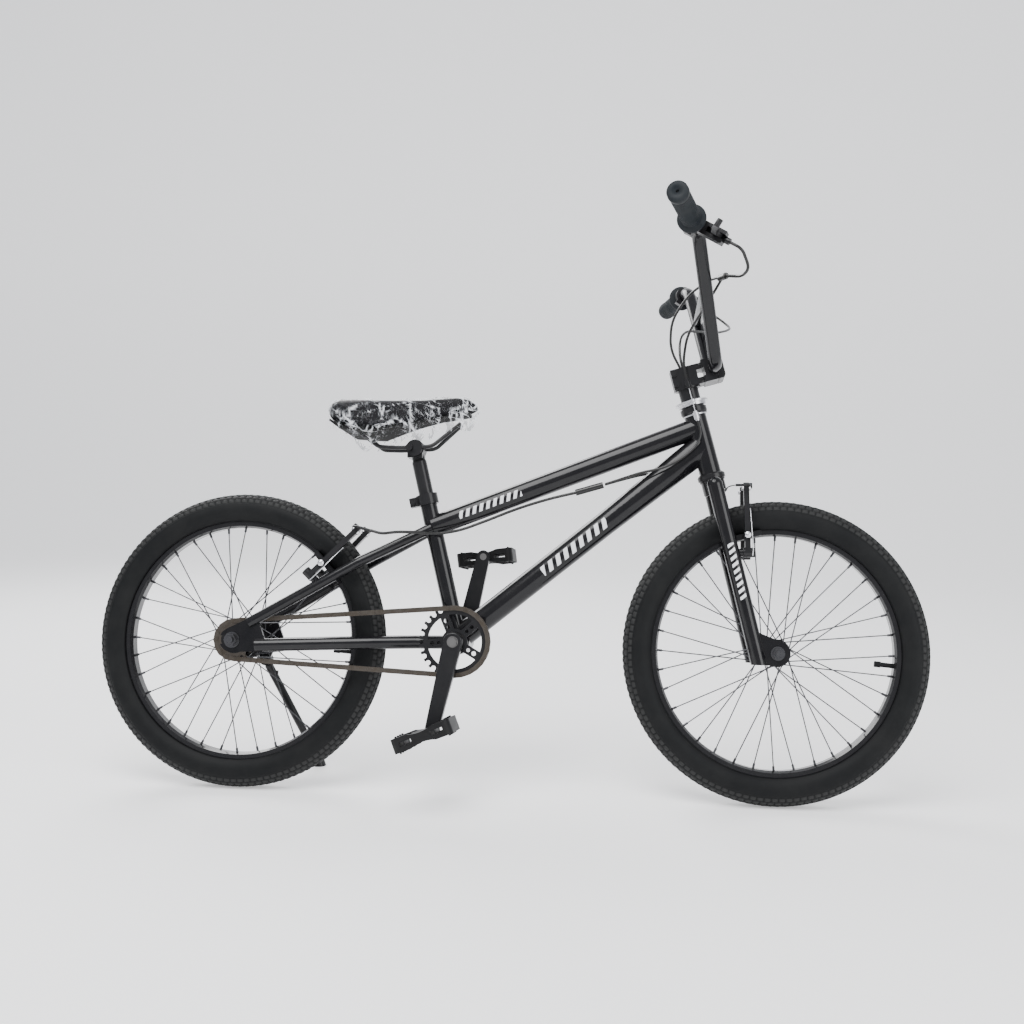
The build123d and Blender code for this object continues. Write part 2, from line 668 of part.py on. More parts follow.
def spokes(hole_radius, left_flange, right_flange):
    """Laced spokes with their heads through the flanges, and a nipple on each."""
    pieces = []
    for number in range(SPOKE_COUNT):
        start, end, flange = spoke_line(number, hole_radius, left_flange, right_flange)
        along = (end - start).normalized()
        wire_end = end - along * 7
        facing = math.copysign(1, start.Z - flange)
        elbow_end = Vector(start.X, start.Y, flange - facing * (FLANGE_HALF + 0.1))
        head_end = elbow_end - Vector(0, 0, facing * 1.2)
        wire = rod(start, wire_end, SPOKE_RADIUS) + Pos(*start) * Sphere(SPOKE_RADIUS)
        pieces.append(wire + rod(start, elbow_end, SPOKE_RADIUS) + rod(elbow_end, head_end, 1.9))
        nipple = rod(end - along * 13, end, NIPPLE_RADIUS) + rod(end, end + along * 2, 3.2)
        pieces.append(nipple - rod(end - along * 13, wire_end, SPOKE_RADIUS))
    return pieces


NIPPLE_RADIUS = 2.0
FLANGE_HALF = 1.5
FRONT_FLANGE = 33.0
FRONT_HOLE_RADIUS = 19.0
REAR_LEFT_FLANGE = 34.0
REAR_RIGHT_FLANGE = -24.0
REAR_HOLE_RADIUS = 30.0


def drilled(body, hole_radius, flanges):
    """Spoke holes through each flange; the holes of the two flanges are staggered."""
    holes = []
    for index, flange in enumerate(flanges):
        for number in range(SPOKE_COUNT // 2):
            angle = (2 * number + index) * 360 / SPOKE_COUNT
            holes.append(Rot(0, 0, angle) * Pos(hole_radius, 0, flange) * Cylinder(SPOKE_RADIUS + 0.3, 6))
    return body - holes


def front_hub():
    """Hub shell and its two bearings."""
    body = disc(13, -38, 38) + disc(16.5, 27, 38) + disc(16.5, -38, -27)
    for side in (-1, 1):
        flange = side * FRONT_FLANGE
        body += disc(FRONT_HOLE_RADIUS + 4, flange - FLANGE_HALF, flange + FLANGE_HALF)
    body -= disc(8, -40, 40)
    body -= disc(12.5, 29, 40)
    body -= disc(12.5, -40, -29)
    bearings = [
        washer(12.5, FRONT_AXLE_RADIUS + RUNNING_CLEARANCE, 29, 37.5),
        washer(12.5, FRONT_AXLE_RADIUS + RUNNING_CLEARANCE, -37.5, -29),
    ]
    return [drilled(body, FRONT_HOLE_RADIUS, (FRONT_FLANGE, -FRONT_FLANGE))] + bearings


def rear_hub():
    """Hub shell, its two bearings and the inner half of the freewheel screwed onto it."""
    body = disc(16, -30, 46) + disc(17.4, -46, -28)
    for flange in (REAR_LEFT_FLANGE, REAR_RIGHT_FLANGE):
        body += disc(REAR_HOLE_RADIUS + 4, flange - FLANGE_HALF, flange + FLANGE_HALF)
    body -= disc(9.5, -50, 50)
    body -= disc(13.5, 37, 50)
    body -= disc(13.5, -50, -37)
    bore = REAR_AXLE_RADIUS + RUNNING_CLEARANCE
    bearings = [washer(13.5, bore, 37, 45.5), washer(13.5, bore, -45.5, -37)]
    core = washer(FREEWHEEL_CORE_RADIUS, 17.4, CHAIN_LINE - 3, CHAIN_LINE + 14)
    core += washer(26, FREEWHEEL_CORE_RADIUS - 2, CHAIN_LINE + 10, CHAIN_LINE + 14)
    return [drilled(body, REAR_HOLE_RADIUS, (REAR_LEFT_FLANGE, REAR_RIGHT_FLANGE))] + bearings + [core]


# ---------------------------------------------------------------- cranks and pedals
def crank_place():
    """Frame on the crank axis: X along the right arm, Z to the left of the bike."""
    angle = math.radians(CRANK_ANGLE)
    return Plane(
        origin=(CRANK_X, 0, CRANK_Z),
        x_dir=(math.cos(angle), 0, math.sin(angle)),
        z_dir=(0, 1, 0),
    )


def crank_arms():
    outline = hull_of((0, 0, 16), (CRANK_LENGTH, 0, 11.5)) - Circle(SPINDLE_RADIUS)
    outline -= Pos(CRANK_LENGTH, 0) * Circle(PEDAL_AXLE_RADIUS + 1)
    arm = Pos(0, 0, CRANK_ARM_INNER) * extrude(outline, amount=CRANK_ARM_THICKNESS)
    arm = fillet(arm.faces().sort_by(Axis.Z)[-1].outer_wire().edges(), 3)
    right = crank_place() * (Rot(0, 0, 180) * Rot(180, 0, 0) * Rot(0, 0, 180) * arm)
    left = crank_place() * (Rot(0, 0, 180) * arm)
    return [right, left]


def crank_spindle():
    """Spindle with a spacer beside each bearing and a bolt in each end."""
    place = crank_place()
    end = CRANK_ARM_INNER + CRANK_ARM_THICKNESS
    pieces = [disc(SPINDLE_RADIUS, -end, end)]
    ring_inner = CHAIN_LINE + 1.2
    ring_outer = CHAIN_LINE - 1.2
    gap = SHELL_HALF_WIDTH + FREE_GAP
    pieces.append(washer(13, SPINDLE_RADIUS, ring_inner, -gap))
    pieces.append(washer(15, SPINDLE_RADIUS, -CRANK_ARM_INNER, ring_outer))
    pieces.append(washer(13, SPINDLE_RADIUS, gap, CRANK_ARM_INNER))
    for flip in (Rot(0, 0, 0), Rot(180, 0, 0)):
        pieces.append(flip * hexagon_bar(14, end, end + 5))
    return [place * piece for piece in pieces]


def pedal_axles():
    """Pedal spindles screwed into the crank arms."""
    outer = CRANK_ARM_INNER + CRANK_ARM_THICKNESS
    shaft = disc(PEDAL_AXLE_RADIUS + 1, CRANK_ARM_INNER, outer)
    shaft += disc(7.5, outer, outer + 2.5)
    shaft += disc(PEDAL_AXLE_RADIUS, outer, outer + PEDAL_WIDTH - 4)
    left = Pos(-CRANK_LENGTH, 0, 0) * shaft
    right = Pos(CRANK_LENGTH, 0, 0) * Rot(180, 0, 0) * shaft
    return [crank_place() * right, crank_place() * left]


def pedal(side, tilt):
    """Moulded platform with four windows, a central barrel and traction pins."""
    angle = math.radians(CRANK_ANGLE if side < 0 else CRANK_ANGLE + 180)
    inner = CRANK_ARM_INNER + CRANK_ARM_THICKNESS + 3
    place = Plane(
        origin=(CRANK_X + CRANK_LENGTH * math.cos(angle), side * (inner + PEDAL_WIDTH / 2),
                CRANK_Z + CRANK_LENGTH * math.sin(angle)),
        x_dir=(math.cos(math.radians(tilt)), 0, math.sin(math.radians(tilt))),
        z_dir=(-math.sin(math.radians(tilt)), 0, math.cos(math.radians(tilt))),
    )
    half = PEDAL_THICKNESS / 2
    outline = RectangleRounded(PEDAL_LENGTH, PEDAL_WIDTH, 12)
    for end in (-1, 1):
        for part in (-1, 1):
            window = RectangleRounded(21, PEDAL_WIDTH / 2 - 13, 4)
            outline -= Pos(end * 26.5, part * (PEDAL_WIDTH / 4 - 1.5)) * window
    body = Pos(0, 0, -half) * extrude(outline, amount=PEDAL_THICKNESS)
    dish = Pos(0, 0, half + 58) * Rot(90, 0, 0) * Cylinder(62, PEDAL_WIDTH + 2)
    body -= dish
    body -= mirror(dish, about=Plane.XY)
    for end in (-1, 1):
        body -= Pos(end * 26.5, 0, 0) * Box(20, PEDAL_WIDTH + 2, 7)
    pins = []
    for x in (-42, 42):
        for y in (-30, -10, 10, 30):
            top = pedal_rail_height(x)
            for flip in (Rot(0, 0, 0), Rot(180, 0, 0)):
                pins.append(flip * Pos(x, y, 0) * disc(1.8, top - 3, top + 2.5))
    body = body + pins
    bore = Rot(90, 0, 0) * Cylinder(PEDAL_AXLE_RADIUS + RUNNING_CLEARANCE, PEDAL_WIDTH - 6)
    body -= Pos(0, -side * 4, 0) * bore
    return place * body


def pedal_rail_height(x):
    """Half thickness of the dished platform at a distance from its middle."""
    dish_radius = 62.0
    centre = PEDAL_THICKNESS / 2 + 58
    if abs(x) >= dish_radius:
        return PEDAL_THICKNESS / 2
    return min(PEDAL_THICKNESS / 2, centre - math.sqrt(dish_radius ** 2 - x ** 2))


# ---------------------------------------------------------------- fork and steering
def leg_line(side):
    """Top and bottom centres of a fork leg."""
    top = on_steerer(-24, -1.5)
    low_z = AXLE_Z - 19.3
    low_x = FRONT_AXLE_X - 29.8
    lateral = side * (FRONT_HUB_END + 3)
    return Vector(top.X, lateral, top.Z), Vector(low_x, lateral, low_z)


LEG_RADIUS = 13.0


def fork_legs():
    """Straight blades, capped at the top and cut level at the foot."""
    pieces = []
    for side in (-1, 1):
        top, low = leg_line(side)
        beyond = low + (low - top).normalized() * 20
        blade = tube(top, beyond, LEG_RADIUS, LEG_RADIUS - 1.8)
        blade += Pos(*top) * Sphere(LEG_RADIUS)
        blade += rod(low, beyond, LEG_RADIUS)
        blade -= Pos(low.X, low.Y, low.Z - 30) * Box(90, 60, 60)
        blade -= fork_dropout(side)
        pieces.append(solid_of(blade))
    return pieces


def fork_dropout(side):
    """Plate that reaches forward from the blade to the axle."""
    top, low = leg_line(side)
    outline = hull_of((FRONT_AXLE_X, AXLE_Z, 20), (low.X + 2, low.Z + 9, 9), (low.X - 8, low.Z + 48, 7))
    outline -= Pos(FRONT_AXLE_X, AXLE_Z) * Circle(FRONT_AXLE_RADIUS)
    y_low = min(side * FRONT_HUB_END, side * (FRONT_HUB_END + DROPOUT_THICKNESS))
    return side_plate(outline, y_low, y_low + DROPOUT_THICKNESS)


def fork_dropouts():
    return [fork_dropout(-1), fork_dropout(1)]


def fork_crown():
    """Forged bridge from blade to blade, bored for the steerer."""
    half = FRONT_HUB_END + 3
    middle = Pos(0, 0, -35) * Cylinder(20, 21.5, align=UP)
    arm = Pos(0, 0, -26) * Box(26, 2 * half, 17)
    crown = STEER * (middle + arm - Pos(0, 0, -36) * Cylinder(STEERER_RADIUS, 24, align=UP))
    for side in (-1, 1):
        top, low = leg_line(side)
        crown -= rod(top, low, LEG_RADIUS)
        crown -= Pos(*top) * Sphere(LEG_RADIUS)
    return solid_of(crown)


def fork_steerer():
    body = Pos(0, 0, -35) * Cylinder(STEERER_RADIUS, STEM_BASE + STEM_HEIGHT + 34, align=UP)
    return STEER * (body - Pos(0, 0, -36) * Cylinder(STEERER_RADIUS - STEERER_WALL, 260, align=UP))


GYRO_STOP = HEAD_LENGTH + 0.2
GYRO_REST = 119.0             # underside of the lower rotor plate
GYRO_EAR = 27.0


def headset_spacers():
    """Crown race, top cone and the collar that the cable rotor slides on."""
    race = washer(21.5, STEERER_RADIUS, -13.5, -10.5)
    cone = washer(19.5, STEERER_RADIUS, HEAD_LENGTH + 14.5, HEAD_LENGTH + 16.5)
    collar = washer(17.0, STEERER_RADIUS, HEAD_LENGTH + 16.5, STEM_BASE - 2.5)
    return [STEER * piece for piece in (race, cone, collar)]


def ear_plate(radius, ear, low, high, bore, ear_bore):
    """Round plate with an ear on each side, pierced for the cables."""
    outline = Circle(radius)
    for side in (-1, 1):
        outline += hull_of((0, side * (radius - 8), 7), (0, side * ear, 5))
    outline -= Circle(bore)
    outline -= [Pos(0, side * ear) * Circle(ear_bore) for side in (-1, 1)]
    return Pos(0, 0, low) * extrude(outline, amount=high - low)


def gyro_lower_stop():
    """Plate under the upper headset cup, with the adjusters of the lower cables."""
    seat = HEAD_RADIUS - HEAD_WALL
    plate = ear_plate(20.5, GYRO_EAR, HEAD_LENGTH, HEAD_LENGTH + 2, seat, 3.2)
    pieces = [plate]
    for side in (-1, 1):
        barrel = washer(3.2, 1.0, HEAD_LENGTH - 12, HEAD_LENGTH + 5) + washer(4.6, 1.0, HEAD_LENGTH - 9, HEAD_LENGTH)
        pieces.append(Pos(0, side * GYRO_EAR, 0) * barrel)
    return [STEER * piece for piece in pieces]


def gyro_upper_stop():
    """Plate under the stem, with the adjusters of the upper cables."""
    plate = ear_plate(22, GYRO_EAR, STEM_BASE - 2.5, STEM_BASE, STEERER_RADIUS, 3.2)
    pieces = [plate]
    for side in (-1, 1):
        barrel = washer(3.2, 1.0, STEM_BASE - 5, STEM_BASE + 12) + washer(4.6, 1.0, STEM_BASE, STEM_BASE + 9)
        pieces.append(Pos(0, side * GYRO_EAR, 0) * barrel)
    return [STEER * piece for piece in pieces]


GYRO_BORE = 17.3
WIRE_RADIUS = 0.8


def gyro_lower_ring():
    """Lower rotor plate with its two inner wires, which stays with the frame."""
    plate = ear_plate(24, GYRO_EAR, GYRO_REST, GYRO_REST + 3, GYRO_BORE, WIRE_RADIUS)
    plate += washer(21, GYRO_BORE, GYRO_REST + 3, GYRO_REST + 5)
    pieces = [plate]
    for side in (-1, 1):
        wire = disc(WIRE_RADIUS, HEAD_LENGTH - 8, GYRO_REST + 3) + disc(2, GYRO_REST + 3, GYRO_REST + 4)
        pieces.append(Pos(0, side * GYRO_EAR, 0) * wire)
    return [STEER * piece for piece in pieces]


def gyro_upper_ring():
    """Upper rotor plate with its two inner wires, which turns with the bars."""
    low = GYRO_REST + 5.2
    plate = ear_plate(28, GYRO_EAR, low, low + 3, GYRO_BORE, WIRE_RADIUS)
    plate += washer(23.5, 21.4, low - 1.9, low)
    pieces = [plate]
    for side in (-1, 1):
        wire = disc(WIRE_RADIUS, low, STEM_BASE + 2) + disc(2, low - 0.9, low)
        pieces.append(Pos(0, side * GYRO_EAR, 0) * wire)
    return [STEER * piece for piece in pieces]


CLAMP_SPLIT = 4.0             # face between stem and faceplate, ahead of the bar's axis


def stem():
    """Stem body: steerer clamp with a rear slot, window, and the bar's rear seat."""
    base = STEM_BASE
    body = Pos(0, 0, base) * Cylinder(20, STEM_HEIGHT, align=UP)
    body += Pos(-12, 0, base + STEM_HEIGHT / 2) * Box(22, 34, STEM_HEIGHT)
    body += Pos(24, 0, base + STEM_HEIGHT / 2) * Box(48, 38, STEM_HEIGHT)
    body += Pos(STEM_REACH - 8, 0, base + STEM_HEIGHT / 2 + 1) * Box(24, 52, STEM_HEIGHT + 4)
    body -= Pos(0, 0, base - 1) * Cylinder(STEERER_RADIUS, STEM_HEIGHT + 4, align=UP)
    body -= Pos(27, 0, base + STEM_HEIGHT / 2) * Box(13, 60, 14)
    body -= Pos(-20, 0, base + STEM_HEIGHT / 2) * Box(24, 3, STEM_HEIGHT + 6)
    for rise in (-1, 1):
        body -= Pos(-18.5, 0, base + STEM_HEIGHT / 2 + rise * 9) * Rot(90, 0, 0) * Cylinder(2.7, 60)
        for side in (-1, 1):
            place = Pos(STEM_REACH - 8, side * 20, base + STEM_HEIGHT / 2 + 1 + rise * FACE_BOLT_RISE)
            body -= place * Rot(0, 90, 0) * Cylinder(2.7, 34)
    body -= Pos(STEM_REACH, 0, base + STEM_HEIGHT / 2 + 1) * Rot(90, 0, 0) * Cylinder(BAR_RADIUS, 60)
    body -= Pos(STEM_REACH + 20 + CLAMP_SPLIT - 1, 0, base + STEM_HEIGHT / 2) * Box(40, 60, 60)
    return STEER * solid_of(body)


def stem_faceplate():
    base = STEM_BASE
    plate = Pos(STEM_REACH + CLAMP_SPLIT + 6, 0, base + STEM_HEIGHT / 2 + 1) * Box(12, 52, STEM_HEIGHT + 4)
    plate = fillet(plate.edges().filter_by(Axis.Y).group_by(Axis.X)[-1], 7)
    plate -= Pos(STEM_REACH, 0, base + STEM_HEIGHT / 2 + 1) * Rot(90, 0, 0) * Cylinder(BAR_RADIUS, 60)
    plate -= Pos(STEM_REACH + 12, 0, base + STEM_HEIGHT / 2 + 1) * Box(30, 12, 14)
    for side in (-1, 1):
        for rise in (-1, 1):
            place = Pos(STEM_REACH + 8, side * 20, base + STEM_HEIGHT / 2 + 1 + rise * FACE_BOLT_RISE)
            plate -= place * Rot(0, 90, 0) * Cylinder(2.7, 30)
            plate -= place * Rot(0, 90, 0) * Cylinder(4.7, 8, align=UP)
    return STEER * solid_of(plate)


def stem_bolts():
    """Two pinch bolts behind the steerer and four faceplate bolts."""
    base = STEM_BASE
    pieces = []
    for rise in (-1, 1):
        pinch = Cylinder(2.7, 34) + Pos(0, 0, 18.5) * Cylinder(4.5, 3) + Pos(0, 0, -18.5) * Cylinder(4.5, 3)
        pieces.append(STEER * Pos(-18.5, 0, base + STEM_HEIGHT / 2 + rise * 9) * Rot(90, 0, 0) * pinch)
        for side in (-1, 1):
            bolt = disc(2.7, -25, 0) + disc(4.5, 0, 4)
            place = Pos(STEM_REACH + 8, side * 20, base + STEM_HEIGHT / 2 + 1 + rise * FACE_BOLT_RISE)
            pieces.append(STEER * place * Rot(0, 90, 0) * bolt)
    return pieces


FACE_BOLT_RISE = 14.8         # faceplate bolts above and below the bar's axis


def bar_points():
    """Corners of the handlebar from grip to grip."""
    foot = on_steerer(STEM_BASE + STEM_HEIGHT / 2 + 1, STEM_REACH)
    shoulder_x = foot.X - BAR_RISE * math.tan(TILT) * 0.72
    shoulder_z = foot.Z + BAR_RISE
    beyond = BAR_HALF_WIDTH - BAR_SHOULDER_HALF
    end_x = shoulder_x - beyond * math.tan(math.radians(BAR_BACK_SWEEP))
    end_z = shoulder_z + beyond * math.tan(math.radians(BAR_UP_SWEEP))
    right = [
        Vector(end_x, -BAR_HALF_WIDTH, end_z),
        Vector(shoulder_x, -BAR_SHOULDER_HALF, shoulder_z),
        Vector(foot.X, -BAR_FOOT_HALF, foot.Z),
    ]
    left = [Vector(point.X, -point.Y, point.Z) for point in reversed(right)]
    return right + left


def bar_core():
    path = FilletPolyline(*bar_points(), radius=[45, 32, 32, 45])
    return sweep(Plane(origin=path @ 0, z_dir=path % 0) * Circle(BAR_RADIUS), path=path)


def handlebar():
    """Bent bar with a welded crossbar between its uprights."""
    path = FilletPolyline(*bar_points(), radius=[45, 32, 32, 45])
    start = Plane(origin=path @ 0, z_dir=path % 0)
    body = sweep(start * Circle(BAR_RADIUS), path=path)
    hollow = sweep(start * Circle(BAR_RADIUS - 2), path=path)
    share = 0.60
    shoulder, foot = bar_points()[1], bar_points()[2]
    right = foot + (shoulder - foot) * share
    left = Vector(right.X, -right.Y, right.Z)
    return body + rod(right, left, 8) - hollow


def grip_frame(side):
    """Frame at a grip's outer end, with Z along the bar towards the middle."""
    points = bar_points()
    end, shoulder = (points[0], points[1]) if side < 0 else (points[-1], points[-2])
    return Plane(origin=end, z_dir=shoulder - end)


def grips():
    """Rubber grips with closed ends and a round flange inboard."""
    pieces = []
    for side in (-1, 1):
        body = disc(GRIP_RADIUS, -4, GRIP_LENGTH) + disc(23, GRIP_LENGTH - 4, GRIP_LENGTH)
        body += disc(GRIP_RADIUS + 1, -4, 8)
        body -= disc(BAR_RADIUS, 0, GRIP_LENGTH + 1)
        body -= disc(2.5, -5, 1)
        pieces.append(grip_frame(side) * body)
    return pieces


LEVER_FROM_END = 138.0        # grip's outer end to the lever clamp's middle
LEVER_DIP = 31.0              # lever body below the horizontal
LEVER_BODY = 56.0
LEVER_PIVOT_OUT = 44.0        # bar axis to the lever's pivot, along the body


def lever_plane():
    """Frame of the right lever: X away from the bar, Y along the bar outwards, Z across the body."""
    points = bar_points()
    outward = (points[0] - points[1]).normalized()
    clamp = points[0] - outward * LEVER_FROM_END
    dip = math.radians(LEVER_DIP)
    away = Vector(math.cos(dip), 0, -math.sin(dip))
    away = (away - outward * away.dot(outward)).normalized()
    return Plane(origin=clamp, x_dir=away, z_dir=away.cross(outward))


def lever_bracket():
    """Clamp round the bar with a forked body and the cable adjuster at its end."""
    body = Rot(90, 0, 0) * Cylinder(BAR_RADIUS + 4.5, 13)
    body += Pos(LEVER_BODY / 2 + 3, 0, 0) * Box(LEVER_BODY - 6, 17, 21)
    body += Pos(LEVER_BODY + 4, -3, 0) * Rot(0, 90, 0) * Cylinder(5.5, 10)
    body += Pos(0, 0, 17) * Box(14, 13, 7)
    body -= Rot(90, 0, 0) * Cylinder(BAR_RADIUS, 40)
    body -= Pos(LEVER_PIVOT_OUT - 3, 5.5, 0) * Box(34, 22, 9)
    body -= Pos(LEVER_PIVOT_OUT, 2, 0) * Cylinder(2.5, 60)
    body -= Pos(LEVER_BODY + 4, -3, 0) * Rot(0, 90, 0) * Cylinder(1.2, 30)
    return lever_plane() * body


def lever_blade():
    """Two-finger blade on its pivot pin, in front of the grip."""
    pivot = Pos(LEVER_PIVOT_OUT, 2, 0)
    pin = disc(2.45, -10.5, 10.5)
    root = Pos(0, 0, -3.6) * extrude(hull_of((0, 0, 6.2), (-3, 12, 4.5)), amount=7.2)
    blade = Pos(0, 0, -5) * extrude(hull_of((-2, 17, 4.5), (6, 52, 4)), amount=10)
    hook = Pos(0, 0, -6.5) * extrude(hull_of((6, 52, 4), (14, 74, 4.5)), amount=13)
    neck = Pos(0, 0, -3.6) * extrude(hull_of((-3, 10, 4.5), (-2, 20, 4.5)), amount=7.2)
    return lever_plane() * (pivot * (pin + root + neck + blade + hook))


def front_axle():
    place = wheel_plane(FRONT_AXLE_X)
    pieces = [axle_rod(FRONT_AXLE_RADIUS, FRONT_NUT_FACE)]
    for flip in (Rot(0, 0, 0), Rot(180, 0, 0)):
        low = FRONT_HUB_END + DROPOUT_THICKNESS
        pieces.append(flip * washer(8.5, FRONT_AXLE_RADIUS, FRONT_HUB_END - 11.5, FRONT_HUB_END))
        pieces.append(flip * washer(11.5, FRONT_AXLE_RADIUS, low, low + 2))
        pieces.append(flip * hexagon_bar(15, low + 2, FRONT_NUT_FACE, FRONT_AXLE_RADIUS))
    return [place * piece for piece in pieces]


def front_brake_studs():
    """Studs on short arms that stand forward from the fork blades."""
    place = front_brake_plane()
    pieces = []
    for side in (-1, 1):
        pivot = Pos(-BRAKE_PIVOT_DROP, side * STUD_HALF_SPACING, 0)
        stud = place * pivot * (disc(STUD_RADIUS, -40, 9.5) + disc(6.5, -40, -8))
        top, low = leg_line(-side)
        pieces.append(solid_of(stud - rod(top, low, LEG_RADIUS)))
    return pieces


# ---------------------------------------------------------------- rim brakes
ARM_TOP = BRAKE_ARM_LENGTH - BRAKE_PIVOT_DROP


def brake_arm(place, side, pad_turn):
    """One brake arm with its boss, pad post and holder, and its pad, on the given brake frame."""
    pivot = Pos(-BRAKE_PIVOT_DROP, side * STUD_HALF_SPACING, 0)
    bore = STUD_RADIUS + RUNNING_CLEARANCE
    knee = (16, side * 45, 6.5)
    outline = hull_of((-BRAKE_PIVOT_DROP, side * STUD_HALF_SPACING, 8), knee)
    outline += hull_of(knee, (ARM_TOP, side * 38, 5.5))
    outline -= pivot * Circle(bore)
    arm = Pos(0, 0, -4.5) * extrude(outline, amount=9)
    arm += pivot * (washer(8, bore, -7.5, 12) + disc(8, 9.9, 12))
    inner = RIM_HALF_WIDTH + PAD_GAP
    outer = inner + PAD_THICKNESS
    outwards = Rot(-90 * side, 0, 0)
    arm += Pos(0, side * outer, 0) * outwards * disc(3, 0, 52 - outer)
    arm += Pos(0, side * 50, 0) * outwards * disc(6, 0, 5)
    turn = Rot(0, pad_turn, 0)
    arm += turn * Pos(0, side * (outer + 1.25), 0) * Box(9, 2.5, 46)
    pad = Pos(0, side * (inner + PAD_THICKNESS / 2), 0) * Box(8.5, PAD_THICKNESS, 52)
    pad = fillet(pad.edges().filter_by(Axis.Y), 2)
    return [place * arm, place * turn * pad]


def brake_set(place, guide, pad_turn):
    """Both arm groups, at local -Y and +Y; the one at the guide pipe's side carries it."""
    groups = []
    guide_side = math.copysign(1, guide[0].Y)
    for side in (-1, 1):
        arm, pad = brake_arm(place, side, pad_turn)
        if side == guide_side:
            path = FilletPolyline(*guide, radius=corner_radii(guide))
            pipe = place * sweep(Plane(origin=path @ 0, z_dir=path % 0) * Circle(2.2), path=path)
            link = place * Pos(ARM_TOP, side * 34, 6) * Box(9, 12, 8)
            arm += link
            groups.append([arm, pad, solid_of(pipe - arm)])
        else:
            arm += place * Pos(ARM_TOP, side * 38, 0) * disc(4, 4.5, 10)
            wire_start = place.from_local_coords(Vector(ARM_TOP, -side * 16, 6))
            wire_end = place.from_local_coords(Vector(ARM_TOP, side * 36, 6))
            groups.append([arm, pad, solid_of(rod(wire_start, wire_end, WIRE_RADIUS) - arm)])
    return groups


def rear_guide():
    """Route of the rear guide pipe, from over the wheel to forward along the bike."""
    return [
        Vector(ARM_TOP, -26, 6), Vector(ARM_TOP, -50, 6), Vector(ARM_TOP + 6, -60, -3),
        Vector(ARM_TOP + 16, -61, -21),
    ]


def front_guide():
    """Route of the front guide pipe, from over the wheel to back past the fork blade."""
    return [Vector(ARM_TOP, 26, 6), Vector(ARM_TOP, 49, 6), Vector(ARM_TOP - 1, 59, -4), Vector(ARM_TOP - 1, 60, -19)]


def guide_mouth(place, guide):
    """Mouth of a guide pipe and the direction in which it points."""
    mouth = place.from_local_coords(guide[-1])
    return mouth, (mouth - place.from_local_coords(guide[-2])).normalized()


# ---------------------------------------------------------------- cables
def upper_cables():
    """From the right lever to a splitter, and on to both upper adjusters."""
    frame = lever_plane()
    start = frame.from_local_coords(Vector(LEVER_BODY + 9, -3, 0))
    leave = frame.from_local_coords(Vector(LEVER_BODY + 31, -3, 0))
    split = Vector(819, -146, 858)
    main = [start, leave, Vector(851, -208, 853), Vector(842, -178, 848), split]
    right_end = on_steerer(STEM_BASE + 12.3, 0, -GYRO_EAR)
    left_end = on_steerer(STEM_BASE + 12.3, 0, GYRO_EAR)
    right = [
        Vector(813, -128, 857), Vector(802, -98, 842), Vector(782, -58, 816), Vector(762, -34, 786),
        on_steerer(STEM_BASE + 42, 2, -GYRO_EAR), right_end,
    ]
    left = [
        Vector(811, -128, 861), Vector(794, -92, 865), Vector(764, -48, 853), Vector(736, -4, 818),
        Vector(735, 22, 774), on_steerer(STEM_BASE + 36, 0, GYRO_EAR), left_end,
    ]
    splitter = rod(split + Vector(-8.5, 20, 1.5), split, 5.5)
    pieces = [cable("upper main", main) - splitter, splitter]
    for name, route in (("upper right", right), ("upper left", left)):
        pieces.append(cable(name, route, 2.2) - splitter)
    return pieces


def lower_cables():
    """From both lower adjusters round the head tube to the sleeve, and on to the rear brake."""
    pieces = []
    sleeve_front = Vector(624, -8, 532)
    sleeve_rear = Vector(577, -8, 518)
    for side in (-1, 1):
        start = on_steerer(HEAD_LENGTH - 12.3, 0, side * GYRO_EAR)
        below = on_steerer(HEAD_LENGTH - 36, 0, side * (GYRO_EAR + 1))
        route = [
            start, below, Vector(780, side * 29, 598), Vector(755, side * 29, 575), Vector(722, side * 26.5, 559),
            Vector(688, side * 19 - 1, 553), Vector(654, side * 8 - 5, 542), sleeve_front + Vector(3, side * 3.2, 1),
        ]
        pieces.append(cable("lower front", route, 2.2))
    sleeve = rod(sleeve_front, sleeve_rear, 5.5)
    mouth, heading = guide_mouth(rear_brake_plane(), rear_guide())
    route = [
        sleeve_rear, Vector(535, -7, 508), Vector(480, -3, 491), Vector(425, -6, 468), Vector(382, -17, 450),
        Vector(344, -27, 442), Vector(305, -39, 444), Vector(275, -53, 443), mouth + heading * 22,
        mouth + heading,
    ]
    pieces += [sleeve, cable("lower rear", route) - sleeve]
    return pieces


def front_cable():
    """Left lever to the steerer's lower end, and the thin liner from there to the front brake."""
    frame = lever_plane()
    start = mirrored(frame.from_local_coords(Vector(LEVER_BODY + 9, -3, 0)))
    leave = mirrored(frame.from_local_coords(Vector(LEVER_BODY + 31, -3, 0)))
    stop = on_steerer(-24, 0, -5)
    housing = [
        start, leave, Vector(852, 207, 853), Vector(840, 172, 840), Vector(816, 128, 826), Vector(790, 86, 819),
        Vector(763, 44, 811), Vector(751, 12, 790), on_steerer(206), on_steerer(154, 2, -2),
        on_steerer(100, -1, 2), on_steerer(46, 0, 3), on_steerer(6, -2, 1), stop,
    ]
    mouth, heading = guide_mouth(front_brake_plane(), front_guide())
    lead = (stop - Vector(*housing[-2])).normalized()
    liner = [stop, stop + lead * 26, mouth + heading * 12 + Vector(0, 3, -2), mouth + heading]
    return [cable("front", housing, 2.2), cable("front liner", liner, LINER_RADIUS)]


LINER_RADIUS = 1.0


def mirrored(point):
    return Vector(point.X, -point.Y, point.Z)


# ---------------------------------------------------------------- seat
SEAT_POST_TOP = 318.0         # crank axis to the post's shoulder, along the seat tube
SEAT_NECK_TOP = 341.0
SEAT_POST_DEPTH = 118.0       # length of post inside the seat tube
SADDLE_CLAMP_Z = 341.0


